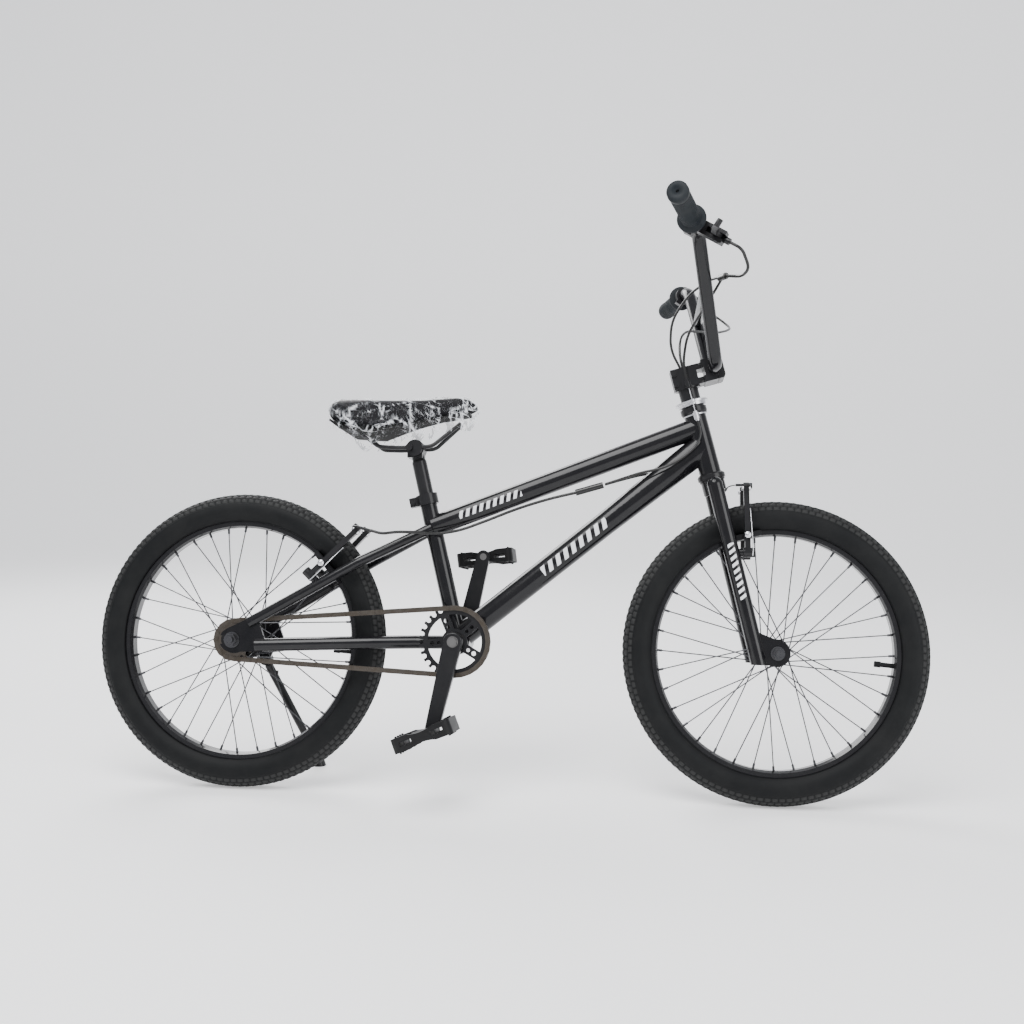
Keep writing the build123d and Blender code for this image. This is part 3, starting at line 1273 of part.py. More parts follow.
def seat_post():
    low = on_seat_tube(SEAT_TUBE_LENGTH - SEAT_POST_DEPTH)
    body = rod(low, on_seat_tube(SEAT_POST_TOP), SEAT_POST_RADIUS)
    body += rod(on_seat_tube(SEAT_POST_TOP), on_seat_tube(SEAT_POST_TOP + 4), SEAT_POST_RADIUS, 11.1)
    body += rod(on_seat_tube(SEAT_POST_TOP + 4), on_seat_tube(SEAT_NECK_TOP + 8), 11.1)
    return body - rod(low, on_seat_tube(SEAT_POST_TOP - 6), SEAT_POST_RADIUS - 2.2)


RAIL_RADIUS = 3.5


def rail_points():
    clamp = on_seat_tube(SADDLE_CLAMP_Z)
    return [
        Vector(clamp.X - 96, -32, clamp.Z + 26), Vector(clamp.X - 62, -25, clamp.Z + 1),
        Vector(clamp.X - 30, -20.5, clamp.Z), Vector(clamp.X + 30, -20, clamp.Z + 3),
        Vector(clamp.X + 78, -9, clamp.Z + 45),
    ]


def saddle_rails():
    """Two steel rails and the clamp that grips them on the post's neck."""
    path = FilletPolyline(*rail_points(), radius=[20, 60, 25])
    rail = sweep(Plane(origin=path @ 0, z_dir=path % 0) * Circle(RAIL_RADIUS), path=path)
    clamp = on_seat_tube(SADDLE_CLAMP_Z)
    place = Plane(origin=clamp, x_dir=(1, 0, 0), z_dir=(0, -1, 0))
    block = place * (Cylinder(15.5, 34) + Pos(0, -9, 0) * Box(26, 14, 34))
    block -= rod(on_seat_tube(0), on_seat_tube(SEAT_NECK_TOP + 8), 11.1)
    block = solid_of(block)
    pieces = both_sides(rail)
    for side in (-1, 1):
        cheek = Pos(clamp.X, side * 20.5, clamp.Z) * Rot(90, 0, 0) * Cylinder(14, 9)
        block -= cheek
        pieces.append(cheek - pieces[0 if side < 0 else 1])
    pieces.append(block - pieces[0] - pieces[1])
    pieces.append(Pos(clamp.X - 8, 0, clamp.Z) * Rot(90, 0, 0) * (Pos(0, 0, 29) * Cylinder(6, 7)))
    pieces.append(Pos(clamp.X - 8, 0, clamp.Z) * Rot(90, 0, 0) * (Pos(0, 0, -29) * Cylinder(6, 7)))
    return [piece for piece in pieces]


def saddle_side():
    """Side outline of the saddle above its base line."""
    outline = Polyline(
        (145.5, 655), (150, 667), (166, 672.5), (240, 673), (310, 676.5), (374, 681.5), (396, 676), (403, 664),
        (396, 655), (340, 646), (290, 634), (232, 618), (178, 622), (152, 638), close=True)
    return make_face(outline)


def saddle_plan(inset=0.0):
    """Plan outline: broad at the back and narrow at the nose."""
    half = [(147, 36), (158, 62), (182, 73), (212, 72), (250, 55), (292, 34), (340, 25), (384, 22), (400, 12)]
    right = [(x, y - inset) for x, y in half]
    left = [(x, inset - y) for x, y in reversed(half)]
    return make_face(Spline((145 + inset, 0), *right, (404 - inset, 0), *left, periodic=True))


def saddle_cushion():
    shift = Pos(CRANK_X - 380, 0, CRANK_Z - 260)
    block = extrude(Plane.XY.offset(600) * saddle_plan(), amount=100)
    body = block & side_plate(saddle_side(), -100, 100)
    return shift * solid_of(body)


def saddle_shell():
    """Thin moulded base under the cushion that the rails clip into."""
    shift = Pos(CRANK_X - 380, 0, CRANK_Z - 260)
    base = make_face(Polyline(
        (155, 637), (178, 621.5), (232, 617.5), (290, 633.5), (340, 645.5), (392, 654), (392, 650), (340, 641.5),
        (290, 629), (232, 613), (176, 617), (153, 633), close=True))
    block = extrude(Plane.XY.offset(600) * saddle_plan(3.0), amount=100)
    body = (block & side_plate(base, -100, 100)) - side_plate(saddle_side(), -100, 100)
    return solid_of(shift * body - saddle_rails()[:2])


# ---------------------------------------------------------------- side stand
def floor_point(x, y):
    """Point of the floor, in the upright bike's frame, below the leaning bike."""
    lean = math.radians(LEAN)
    lift = TYRE_RADIUS * (1 - math.cos(lean))
    return Vector(x, y, (y * math.sin(lean) - lift) / math.cos(lean))


def kickstand():
    """Leg with its eye on the pivot pin, a spring tab and a rubber-shod foot."""
    pivot = stand_pivot()
    lean = math.radians(LEAN)
    upright = Vector(0, -math.sin(lean), math.cos(lean))
    foot = floor_point(pivot.X + STAND_FOOT_AHEAD, STAND_FOOT_SIDE)
    low = pivot.Y - 9
    bore = rod((pivot.X, low - 5, pivot.Z), (pivot.X, low + 40, pivot.Z), 4 + RUNNING_CLEARANCE)
    eye = rod((pivot.X, low + 2.5, pivot.Z), (pivot.X, low + 18, pivot.Z), 11)
    knee = Vector(pivot.X + 5, pivot.Y + 4, pivot.Z - 12)
    leg = rod(knee, foot + upright * 9, STAND_LEG_RADIUS + 1, STAND_LEG_RADIUS)
    leg += Pos(*knee) * Sphere(STAND_LEG_RADIUS + 1)
    tab = Pos(pivot.X + 14, pivot.Y + 9, pivot.Z - 24) * Box(13, 4, 8)
    shoe = rod(foot, foot + upright * 16, 13, 8)
    return eye + leg + tab + shoe - bore


# ---------------------------------------------------------------- the whole bike
def build_nodes():
    """Every node's solids, in the upright bike's frame."""
    rear_plane = wheel_plane(0)
    front_plane = wheel_plane(FRONT_AXLE_X)
    left_front, right_front = brake_set(
        front_brake_plane(), front_guide(), FRONT_BRAKE_ANGLE - FRONT_BRAKE_ARM_ANGLE)
    right_rear, left_rear = brake_set(rear_brake_plane(), rear_guide(), REAR_BRAKE_ARM_ANGLE - REAR_BRAKE_ANGLE)
    nodes = {
        "head_tube": [head_tube()],
        "top_tube": [top_tube()],
        "down_tube": [down_tube()],
        "seat_tube": [seat_tube()],
        "bottom_bracket_shell": [bottom_bracket_shell()],
        "bottom_bracket_bearings": bottom_bracket_bearings(),
        "chainstays": chainstays(),
        "seatstays": seatstays(),
        "rear_dropouts": rear_dropouts(),
        "seat_clamp": seat_clamp(),
        "headset_bearings": headset(),
        "rear_axle": rear_axle(),
        "frame_bosses": rear_brake_studs() + [stand_bracket()],
        "chain": chain_plates() + chain_rollers(),
        "gyro_lower_stop": gyro_lower_stop(),
        "rear_brake_cable": lower_cables(),
        "fork_steerer": [fork_steerer()],
        "fork_crown": [fork_crown()],
        "fork_legs": fork_legs(),
        "fork_fittings": fork_dropouts() + front_brake_studs(),
        "headset_spacers": headset_spacers(),
        "stem": [stem()],
        "stem_faceplate": [stem_faceplate()] + stem_bolts(),
        "handlebar": [handlebar()],
        "grips": grips(),
        "brake_lever_brackets": both_sides(lever_bracket()),
        "gyro_upper_stop": gyro_upper_stop(),
        "upper_brake_cable": upper_cables(),
        "front_brake_cable": front_cable(),
        "front_axle": front_axle(),
        "front_tyre": [front_plane * tyre()],
        "front_inner_tube": [front_plane * inner_tube(), front_plane * valve()],
        "front_rim": [front_plane * rim(FRONT_HOLE_RADIUS, FRONT_FLANGE, -FRONT_FLANGE)],
        "front_spokes": [front_plane * piece for piece in spokes(FRONT_HOLE_RADIUS, FRONT_FLANGE, -FRONT_FLANGE)],
        "front_hub": [front_plane * piece for piece in front_hub()],
        "rear_tyre": [rear_plane * tyre()],
        "rear_inner_tube": [rear_plane * inner_tube(), rear_plane * valve()],
        "rear_rim": [rear_plane * rim(REAR_HOLE_RADIUS, REAR_LEFT_FLANGE, REAR_RIGHT_FLANGE)],
        "rear_spokes": [rear_plane * piece for piece in spokes(REAR_HOLE_RADIUS, REAR_LEFT_FLANGE, REAR_RIGHT_FLANGE)],
        "rear_hub": [rear_plane * piece for piece in rear_hub()],
        "freewheel_sprocket": [freewheel_sprocket()],
        "crank_spindle": crank_spindle(),
        "crank_arms": crank_arms(),
        "chainring": [chainring()],
        "pedal_axles": pedal_axles(),
        "pedal_right": [pedal(-1, RIGHT_PEDAL_TILT)],
        "pedal_left": [pedal(1, LEFT_PEDAL_TILT)],
        "brake_lever_right": [lever_blade()],
        "brake_lever_left": [mirror(lever_blade(), about=Plane.XZ)],
        "gyro_upper_ring": gyro_upper_ring(),
        "gyro_lower_ring": gyro_lower_ring(),
        "front_brake_arm_right": right_front,
        "front_brake_arm_left": left_front,
        "rear_brake_arm_right": right_rear,
        "rear_brake_arm_left": left_rear,
        "kickstand": [kickstand()],
        "seatpost": [seat_post()],
        "saddle_cushion": [saddle_cushion()],
        "saddle_shell": [saddle_shell()],
        "saddle_rails": saddle_rails(),
    }
    return nodes


def placing(nodes):
    """Lean the upright bike onto its stand and centre it over the origin."""
    lean = Rot(-LEAN, 0, 0)
    boxes = []
    for name in ("rear_tyre", "front_tyre", "grips", "pedal_left", "pedal_right", "kickstand"):
        for piece in nodes[name]:
            boxes.append((lean * piece).bounding_box())
    low_x = min(box.min.X for box in boxes)
    high_x = max(box.max.X for box in boxes)
    low_y = min(box.min.Y for box in boxes)
    high_y = max(box.max.Y for box in boxes)
    lift = TYRE_RADIUS * (1 - math.cos(math.radians(LEAN)))
    return Pos(-(low_x + high_x) / 2, -(low_y + high_y) / 2, lift) * lean


def main():
    os.makedirs("parts", exist_ok=True)
    nodes = build_nodes()
    place = placing(nodes)
    print("placing", place)
    for name, pieces in nodes.items():
        solids = [place * solid for piece in pieces for solid in piece.solids()]
        whole = Compound(children=solids)
        whole.label = name
        export_step(whole, os.path.join("parts", name + ".step"))
    print(len(nodes), "nodes")


if __name__ == "__main__":
    main()
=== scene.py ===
"""Looks of a freestyle bmx bike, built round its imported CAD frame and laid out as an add-on."""

import json
import math

import bpy
import numpy as np
from mathutils import Matrix, Vector


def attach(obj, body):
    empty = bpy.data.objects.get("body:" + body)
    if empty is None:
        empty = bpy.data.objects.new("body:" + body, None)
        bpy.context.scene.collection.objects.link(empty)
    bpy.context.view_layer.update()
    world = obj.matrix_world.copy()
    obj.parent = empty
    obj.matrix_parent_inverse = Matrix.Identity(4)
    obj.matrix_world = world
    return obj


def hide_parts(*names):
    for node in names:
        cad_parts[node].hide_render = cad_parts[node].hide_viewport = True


bl_info = {
    "name": "BMX bike looks",
    "version": (1, 0, 0),
    "blender": (4, 5, 0),
    "location": "View3D > Sidebar > BMX",
    "description": "Treaded tyres, padded saddle under film, ribbed grips and finishes for a bmx bike",
    "category": "Object",
}

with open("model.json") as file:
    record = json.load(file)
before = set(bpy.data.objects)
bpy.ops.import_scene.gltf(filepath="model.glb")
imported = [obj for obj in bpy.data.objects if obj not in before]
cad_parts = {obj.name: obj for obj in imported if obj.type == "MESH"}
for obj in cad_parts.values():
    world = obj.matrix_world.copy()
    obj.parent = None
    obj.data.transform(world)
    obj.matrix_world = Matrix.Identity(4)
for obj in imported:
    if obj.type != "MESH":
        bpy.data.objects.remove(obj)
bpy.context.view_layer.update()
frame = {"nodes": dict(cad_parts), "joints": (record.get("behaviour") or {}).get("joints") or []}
NODES = frame["nodes"]
JOINTS = {joint["name"]: joint for joint in frame["joints"]}

MM = 0.001
LEAN = math.radians(9.0)          # the bike leans left onto its stand
REAR_AXLE = np.array(JOINTS["rear_wheel_spin"]["pos_m"])
FRONT_AXLE = np.array(JOINTS["front_wheel_spin"]["pos_m"])
AXLE_LINE = np.array(JOINTS["rear_wheel_spin"]["axis"])
BIKE_UP = np.cross(np.array([1.0, 0.0, 0.0]), AXLE_LINE)
AXLE_RISE = 0.254                 # axle above the tyres' lowest point, on the upright bike


def on_bike(points):
    """Row-frame points from upright-bike millimetres.

    X runs forward from the rear axle, Y to the left and Z up from the tyre's bottom.
    """
    points = np.asarray(points, float) * MM
    across = points[..., 1:2] * AXLE_LINE
    up = (points[..., 2:3] - AXLE_RISE) * BIKE_UP
    return REAR_AXLE + points[..., 0:1] * np.array([1.0, 0.0, 0.0]) + across + up


# ---------------------------------------------------------------- shader expressions
class Sock:
    """A node output whose operators add Math nodes."""

    def __init__(self, shader, socket):
        self.shader = shader
        self.socket = socket

    def _math(self, operation, first, second):
        return self.shader.node("ShaderNodeMath", {"operation": operation}, first, second)

    def __add__(self, other):
        return self._math("ADD", self, other)

    def __radd__(self, other):
        return self._math("ADD", other, self)

    def __sub__(self, other):
        return self._math("SUBTRACT", self, other)

    def __rsub__(self, other):
        return self._math("SUBTRACT", other, self)

    def __mul__(self, other):
        return self._math("MULTIPLY", self, other)

    def __rmul__(self, other):
        return self._math("MULTIPLY", other, self)

    def __truediv__(self, other):
        return self._math("DIVIDE", self, other)


class Shader:
    """A material whose nodes are added by one method and joined by expressions."""

    def __init__(self, name):
        self.material = bpy.data.materials.new(name)
        self.material.use_nodes = True
        self.tree = self.material.node_tree
        self.tree.nodes.clear()
        self.surface = self.tree.nodes.new("ShaderNodeBsdfPrincipled")
        output = self.tree.nodes.new("ShaderNodeOutputMaterial")
        self.tree.links.new(self.surface.outputs[0], output.inputs[0])
        self.place = self.node("ShaderNodeTexCoord", {"out": "Object"})

    def put(self, socket, value):
        """Set a socket to a constant, or link another node's output to it."""
        if isinstance(value, Sock):
            self.tree.links.new(value.socket, socket)
        elif value is not None:
            socket.default_value = value

    def node(self, kind, settings=None, *values, **named):
        """Add a node: settings first, then its inputs in order or by name."""
        made = self.tree.nodes.new(kind)
        settings = dict(settings or {})
        out = settings.pop("out", 0)
        stops = settings.pop("stops", None)
        for key, value in settings.items():
            setattr(made, key, value)
        if stops:
            ramp = made.color_ramp
            while len(ramp.elements) < len(stops):
                ramp.elements.new(1.0)
            for element, (position, colour) in zip(ramp.elements, stops):
                element.position = position
                element.color = colour
        for socket, value in zip([s for s in made.inputs if s.enabled], values):
            self.put(socket, value)
        for key, value in named.items():
            self.put(made.inputs[key], value)
        return Sock(self, made.outputs[out])

    def noise(self, scale, detail=3.0, rough=0.5):
        """Fractal noise from 0 to 1."""
        return self.node("ShaderNodeTexNoise", None, Vector=self.place, Scale=scale, Detail=detail,
                         Roughness=rough)

    def along(self, origin, direction):
        """Distance of a surface point from an origin along a direction, in metres."""
        offset = self.node("ShaderNodeVectorMath", {"operation": "SUBTRACT"}, self.place, tuple(origin))
        return self.node("ShaderNodeVectorMath", {"operation": "DOT_PRODUCT", "out": "Value"}, offset,
                         tuple(direction))

    def clamp(self, value):
        return self.node("ShaderNodeClamp", None, value)

    def between(self, value, low, high, soft=0.0004):
        """1 where a value lies between two limits, with a soft edge."""
        rise = self.clamp((value - low) / soft)
        fall = self.clamp((high - value) / soft)
        return rise * fall

    def mix(self, factor, first, second):
        """Blend of two colours."""
        return self.node("ShaderNodeMix", {"data_type": "RGBA", "out": 2}, factor, first, second)

    def bump(self, height, distance, strength=1.0):
        return self.node("ShaderNodeBump", None, Height=height, Distance=distance, Strength=strength)

    def finish(self, **values):
        """Fill the surface's sockets, named with underscores for spaces."""
        for key, value in values.items():
            self.put(self.surface.inputs[key.replace("_", " ")], value)
        return self.material


def rgb(colour):
    """A colour setting as a four-part socket value."""
    return (colour[0], colour[1], colour[2], 1.0)


# ---------------------------------------------------------------- finishes
def facing(shader, direction):
    """Cosine of the angle between a face's normal and a direction."""
    normal = shader.node("ShaderNodeNewGeometry", {"out": "Normal"})
    return shader.node("ShaderNodeVectorMath", {"operation": "DOT_PRODUCT", "out": "Value"}, normal, direction)


def dust(shader, amount):
    """Thin patchy dust, thicker on faces that look up."""
    up = facing(shader, (0.0, 0.0, 1.0))
    patch = shader.noise(28.0, 6.0, 0.7)
    return shader.clamp((up * 0.5 + 0.6) * (patch - 0.35) * 3.0) * amount


def underside(shader):
    """1 on faces that look down, 0 on the rest."""
    return shader.clamp(facing(shader, (0.0, 0.0, -1.0)) * 3.0)


def paint(name, colour, roughness, coat, dusty=0.03, marks=None, mark_colour=(0.75, 0.75, 0.75, 1.0)):
    """Sprayed paint with fine orange peel, faint dust and, on some tubes, plain slanted bars."""
    shader = Shader(name)
    base = rgb(colour)
    grey = shader.mix(dust(shader, dusty), base, (0.22, 0.21, 0.2, 1.0))
    level = shader.noise(60.0, 4.0) * 0.1 + (roughness - 0.05)
    if marks is not None:
        mask = marks(shader)
        grey = shader.mix(mask, grey, mark_colour)
        level = level + mask * 0.15
    peel = shader.bump(shader.noise(900.0, 2.0), 0.00004, 0.4)
    return shader.finish(Base_Color=grey, Roughness=level, Normal=peel, Coat_Weight=coat, Coat_Roughness=0.05,
                         Specular_IOR_Level=0.16)


def metal(name, colour, roughness, streak=0.0, grain=500.0, tint=None):
    """Bare metal: fine grain in its roughness and, when asked, darker oily patches."""
    shader = Shader(name)
    patch = shader.noise(90.0, 5.0, 0.6)
    fine = shader.noise(grain, 3.0)
    tone = shader.mix(shader.clamp((patch - 0.45) * 2.5) * streak, rgb(colour), tint or (0.12, 0.11, 0.1, 1.0))
    level = fine * 0.18 + patch * 0.12 + (roughness - 0.15)
    return shader.finish(
        Base_Color=tone, Roughness=level, Metallic=1.0, Normal=shader.bump(fine, 0.00003, 0.35))


def rubber(name, colour, roughness=0.6, dusty=0.25, scale=700.0, painted_tread_light=0.0):
    """Moulded rubber with a dusty bloom and a fine grain, its tread block tops painted paler as painted light that
    shows the tread's relief.
    """
    shader = Shader(name)
    cloud = shader.noise(22.0, 6.0, 0.65)
    tone = shader.mix(shader.clamp((cloud - 0.4) * 2.2) * dusty, rgb(colour), (0.13, 0.125, 0.115, 1.0))
    if painted_tread_light:
        top = shader.node("ShaderNodeAttribute", {"attribute_name": "block", "out": "Fac"})
        # painted light: block tops paler than the grooves, to show the tread's relief
        tone = shader.mix(top * painted_tread_light, tone, (0.09, 0.09, 0.088, 1.0))
    grain = shader.noise(scale, 3.0)
    level = cloud * 0.2 + (roughness - 0.1)
    return shader.finish(Base_Color=tone, Roughness=level, Normal=shader.bump(grain, 0.00008, 0.5),
                         Specular_IOR_Level=0.14)


def plastic(name, colour, roughness, coat=0.0, scale=1400.0):
    """Moulded plastic with a fine spark-eroded texture."""
    shader = Shader(name)
    fine = shader.noise(scale, 2.0)
    wide = shader.noise(35.0, 4.0)
    tone = shader.mix(dust(shader, 0.05), rgb(colour), (0.14, 0.135, 0.13, 1.0))
    return shader.finish(Base_Color=tone, Roughness=wide * 0.16 + (roughness - 0.08) + underside(shader) * 0.35,
                         Coat_Weight=coat, Normal=shader.bump(fine, 0.00006, 0.5), Specular_IOR_Level=0.18)


def leather(name, colour):
    """Grained cover: small raised cells with a soft sheen over broad creases."""
    shader = Shader(name)
    cell = shader.node("ShaderNodeTexVoronoi", {"out": "Distance"}, Vector=shader.place, Scale=900.0)
    wide = shader.noise(40.0, 5.0)
    height = cell * 0.6 + wide * 0.8
    tone = shader.mix(wide * 0.3, rgb(colour), (0.02, 0.02, 0.022, 1.0))
    return shader.finish(Base_Color=tone, Roughness=cell * 0.15 + 0.5 + underside(shader) * 0.35,
                         Normal=shader.bump(height, 0.0002, 0.6), Specular_IOR_Level=0.12)


def film(name):
    """Clear wrapping film, turned white and opaque along its creases as painted glints."""
    shader = Shader(name)
    crease = shader.node("ShaderNodeAttribute", {"attribute_name": "crease", "out": "Fac"})
    fine = shader.noise(160.0, 5.0, 0.7)
    # painted glints: white and opaque along the creases, clear elsewhere
    painted_glints = shader.clamp(crease * 0.75 + (fine - 0.52) * 0.3 + 0.01)
    return shader.finish(Base_Color=(0.82, 0.84, 0.87, 1.0), Roughness=0.12, Alpha=painted_glints, IOR=1.5,
                         Normal=shader.bump(fine, 0.0006, 0.7))


def slanted_bars(origin, direction, across, start, stop, half_height, pitch):
    """Mask of evenly spaced slanted bars inside a band along a tube."""
    def mask(shader):
        run = shader.along(origin, direction)
        rise = shader.along(origin, across)
        band = shader.between(run, start, stop) * shader.between(rise, -half_height, half_height)
        phase = shader.node("ShaderNodeMath", {"operation": "FRACT"}, (run + rise * BAR_SLANT) / pitch)
        return band * shader.between(phase, 0.04, BAR_SHARE, 0.05)
    return mask


# ---------------------------------------------------------------- surfaces on grids
def grid_faces(rows, columns, close_rows, close_columns):
    """Corner numbers of the four-sided faces of a grid, as one array."""
    row = np.arange(rows if close_rows else rows - 1)
    column = np.arange(columns if close_columns else columns - 1)
    r, c = np.meshgrid(row, column, indexing="ij")
    r2, c2 = (r + 1) % rows, (c + 1) % columns
    return np.stack([r * columns + c, r2 * columns + c, r2 * columns + c2, r * columns + c2], -1).reshape(-1, 4)


def surface(name, points, close_rows=False, close_columns=False, smooth=True, material=None, flip=False, cap=False):
    """An object from a grid of points; cap closes both open ends of its rows."""
    rows, columns = points.shape[:2]
    faces = grid_faces(rows, columns, close_rows, close_columns)
    if flip:
        faces = faces[:, ::-1]
    polygons = faces.tolist()
    if cap:
        first = list(range(columns))
        last = list(range((rows - 1) * columns, rows * columns))
        polygons += [first[::-1], last] if flip else [first, last[::-1]]
    mesh = bpy.data.meshes.new(name)
    mesh.from_pydata(points.reshape(-1, 3).tolist(), [], polygons)
    mesh.validate()
    mesh.polygons.foreach_set("use_smooth", np.full(len(mesh.polygons), smooth))
    mesh.update()
    made = bpy.data.objects.new(name, mesh)
    bpy.context.scene.collection.objects.link(made)
    if material:
        mesh.materials.append(material)
    return made


def joined(name, pieces):
    """One object from several, all lying in the row frame."""
    bpy.ops.object.select_all(action="DESELECT")
    for piece in pieces:
        piece.select_set(True)
    bpy.context.view_layer.objects.active = pieces[0]
    bpy.ops.object.join()
    pieces[0].name = name
    pieces[0].data.name = name
    return pieces[0]


def step(value, edge, soft):
    """Smooth rise from 0 to 1 about an edge."""
    share = np.clip((value - edge) / soft * 0.5 + 0.5, 0, 1)
    return share * share * (3 - 2 * share)


TYRE_CENTRE = 0.226               # from the axle to the middle of the tyre's section
TYRE_OUTSIDE = 0.028              # radius of the tyre's section
TYRE_INSIDE = 0.0245              # radius of the hollow inside it
TYRE_FLOOR = 0.2046               # nothing of the tyre is nearer to the axle
TYRE_STEPS = 768                  # sections round the wheel
TREAD_ANGLE = math.radians(68.0)  # half the tread, seen from the section's middle
BEAD_ANGLE = math.radians(138.0)  # from the tread's middle to each outer bead
BEAD_INSIDE = math.radians(126.0)


def tyre_surface(name, axle, settings, material):
    """Treaded tyre: a closed section of outer arc, beads and inner arc, carried round the axle.

    The section's radius drops by the groove depth between blocks, which repeat round the
    wheel and are staggered from one row across the tread to the next.
    """
    arc = np.concatenate([
        np.linspace(-BEAD_ANGLE, -TREAD_ANGLE, 16, endpoint=False),
        np.linspace(-TREAD_ANGLE, TREAD_ANGLE, 49),
        np.linspace(TREAD_ANGLE, BEAD_ANGLE, 17)[1:],
    ])
    back = np.linspace(BEAD_INSIDE, -BEAD_INSIDE, 13)
    round_wheel = np.linspace(0, 2 * np.pi, TYRE_STEPS, endpoint=False)
    across = arc * TYRE_OUTSIDE
    pitch = 2 * np.pi / settings.tread_blocks
    rows = np.floor(across / settings.tread_row + 0.5)
    in_row = (across / settings.tread_row + 0.5) % 1.0
    phase = ((round_wheel[:, None] / pitch) + 0.5 * (rows[None, :] % 2)) % 1.0
    block = step(phase, 0.12, 0.1) * step(1 - phase, 0.12, 0.1)
    block = block * (step(in_row, 0.1, 0.1) * step(1 - in_row, 0.1, 0.1))[None, :]
    shoulder = step(TREAD_ANGLE * TYRE_OUTSIDE - np.abs(across), 0.001, 0.002)[None, :]
    radius = TYRE_OUTSIDE - settings.tread_depth * (1 - block) * shoulder
    radial = TYRE_CENTRE + radius * np.cos(arc)[None, :]
    width = radius * np.sin(arc)[None, :]
    inside_shape = (TYRE_STEPS, len(back))
    inside_radial = np.broadcast_to(TYRE_CENTRE + TYRE_INSIDE * np.cos(back), inside_shape)
    inside_width = np.broadcast_to(TYRE_INSIDE * np.sin(back), inside_shape)
    radial = np.concatenate([radial, inside_radial], 1)
    width = np.concatenate([width, inside_width], 1)
    radial = np.maximum(radial, TYRE_FLOOR)
    forward = np.array([1.0, 0.0, 0.0])
    spin = np.cos(round_wheel)[:, None, None] * forward + np.sin(round_wheel)[:, None, None] * BIKE_UP
    points = axle + radial[..., None] * spin + width[..., None] * AXLE_LINE
    made = surface(name, points, True, True, True, material, flip=True)
    # block tops, read by the tyre material for painted light that makes them paler than the grooves
    tops = np.concatenate([block * shoulder, np.zeros(inside_shape)], 1)
    made.data.attributes.new("block", "FLOAT", "POINT").data.foreach_set("value", tops.ravel())
    return made


def profile_line(points, x, blur):
    """Smooth line through a few points: straight runs blurred by a cosine window."""
    points = np.asarray(points, float)
    offsets = np.linspace(-1, 1, 15)
    weights = 1 + np.cos(np.pi * offsets)
    total = sum(w * np.interp(x + o * blur, points[:, 0], points[:, 1]) for o, w in zip(offsets, weights))
    return total / weights.sum()


SADDLE_BACK, SADDLE_NOSE = 145.6, 402.8
SADDLE_TOP = [(145, 660), (152, 667), (170, 672), (240, 673), (310, 676), (370, 681), (394, 677), (403, 668)]
SADDLE_UNDER = [(145, 648), (156, 634), (180, 622), (232, 618), (290, 634), (340, 646), (392, 655), (403, 660)]
SADDLE_HALF = [(145, 34), (158, 60), (184, 72), (212, 71), (250, 54), (292, 34), (340, 25), (380, 22), (403, 15)]


def saddle_section(along, around, grow=0.0, drop=0.0):
    """Saddle-shaped surface: rounded sections between the top, under and side lines, closed at both ends."""
    x = SADDLE_BACK - grow + (SADDLE_NOSE - SADDLE_BACK + 2 * grow) * (1 - np.cos(np.pi * along)) / 2
    top = profile_line(SADDLE_TOP, x, 9) + grow
    under = profile_line(SADDLE_UNDER, x, 9) - grow - drop
    half = profile_line(SADDLE_HALF, x, 9) + grow
    closing = np.sqrt(np.clip(1 - (2 * along - 1) ** 8, 0, 1))[:, None]
    middle = ((top + under) / 2)[:, None]
    high = ((top - under) / 2)[:, None]
    lift, side = np.sin(around)[None, :], np.cos(around)[None, :]
    power = np.where(lift < 0, 0.42, 0.7)
    y = half[:, None] * np.sign(side) * np.abs(side) ** power * closing
    z = middle + high * np.sign(lift) * np.abs(lift) ** (power * 0.9) * closing
    return np.stack([np.broadcast_to(x[:, None], y.shape), y, z], -1)


def outward_lines(points):
    """Unit directions from the middle line of a saddle's sections to its points."""
    middle = np.broadcast_to(points[..., 2].mean(1, keepdims=True), points.shape[:2])
    outward = points - np.stack([points[..., 0], np.zeros(points.shape[:2]), middle], -1)
    return outward / (np.linalg.norm(outward, axis=-1, keepdims=True) + 1e-6)


def crinkle(points, seed, ridges, size):
    """Network of sharp creases, from 0 to 1: the highest of several wavy families of thin ridges."""
    rng = np.random.default_rng(seed)
    highest = np.zeros(points.shape[:-1])
    for _ in range(ridges):
        direction = rng.normal(size=3)
        direction /= np.linalg.norm(direction)
        bend = rng.normal(size=3) * 0.8
        wave = points @ direction / size * rng.uniform(0.6, 1.6) + rng.uniform(0, 9)
        wave = wave + 1.3 * np.sin(points @ bend / size * 0.55)
        patch = 0.5 + 0.5 * np.sin(points @ rng.normal(size=3) / size * 0.35 + rng.uniform(0, 6))
        highest = np.maximum(highest, patch * np.clip(1 - 1.6 * np.abs(np.sin(wave)), 0, 1))
    return highest


def wire_tube(name, line, radius, sides, material):
    """Round wire carried along a line of points."""
    line = np.asarray(line, float)
    along = np.gradient(line, axis=0)
    along /= np.linalg.norm(along, axis=1, keepdims=True)
    helper = np.array([0.31, 0.83, 0.46])
    first = np.cross(along, helper)
    first /= np.linalg.norm(first, axis=1, keepdims=True)
    second = np.cross(along, first)
    turn = np.linspace(0, 2 * np.pi, sides, endpoint=False)
    ring = np.cos(turn)[None, :, None] * first[:, None, :] + np.sin(turn)[None, :, None] * second[:, None, :]
    return surface(name, line[:, None, :] + radius * ring, False, True, True, material, flip=True, cap=True)


def turned_surface(name, origin, direction, stations, material, sides=64):
    """Surface of revolution about a line from (distance, radius) stations."""
    stations = np.asarray(stations, float)
    direction = np.asarray(direction, float)
    direction = direction / np.linalg.norm(direction)
    first = np.cross(direction, [0.0, 0.3, 1.0])
    first /= np.linalg.norm(first)
    second = np.cross(direction, first)
    turn = np.linspace(0, 2 * np.pi, sides, endpoint=False)
    ring = np.cos(turn)[None, :, None] * first + np.sin(turn)[None, :, None] * second
    points = np.asarray(origin) + stations[:, 0, None, None] * direction + stations[:, 1, None, None] * ring
    return surface(name, points, False, True, True, material, flip=False, cap=True)


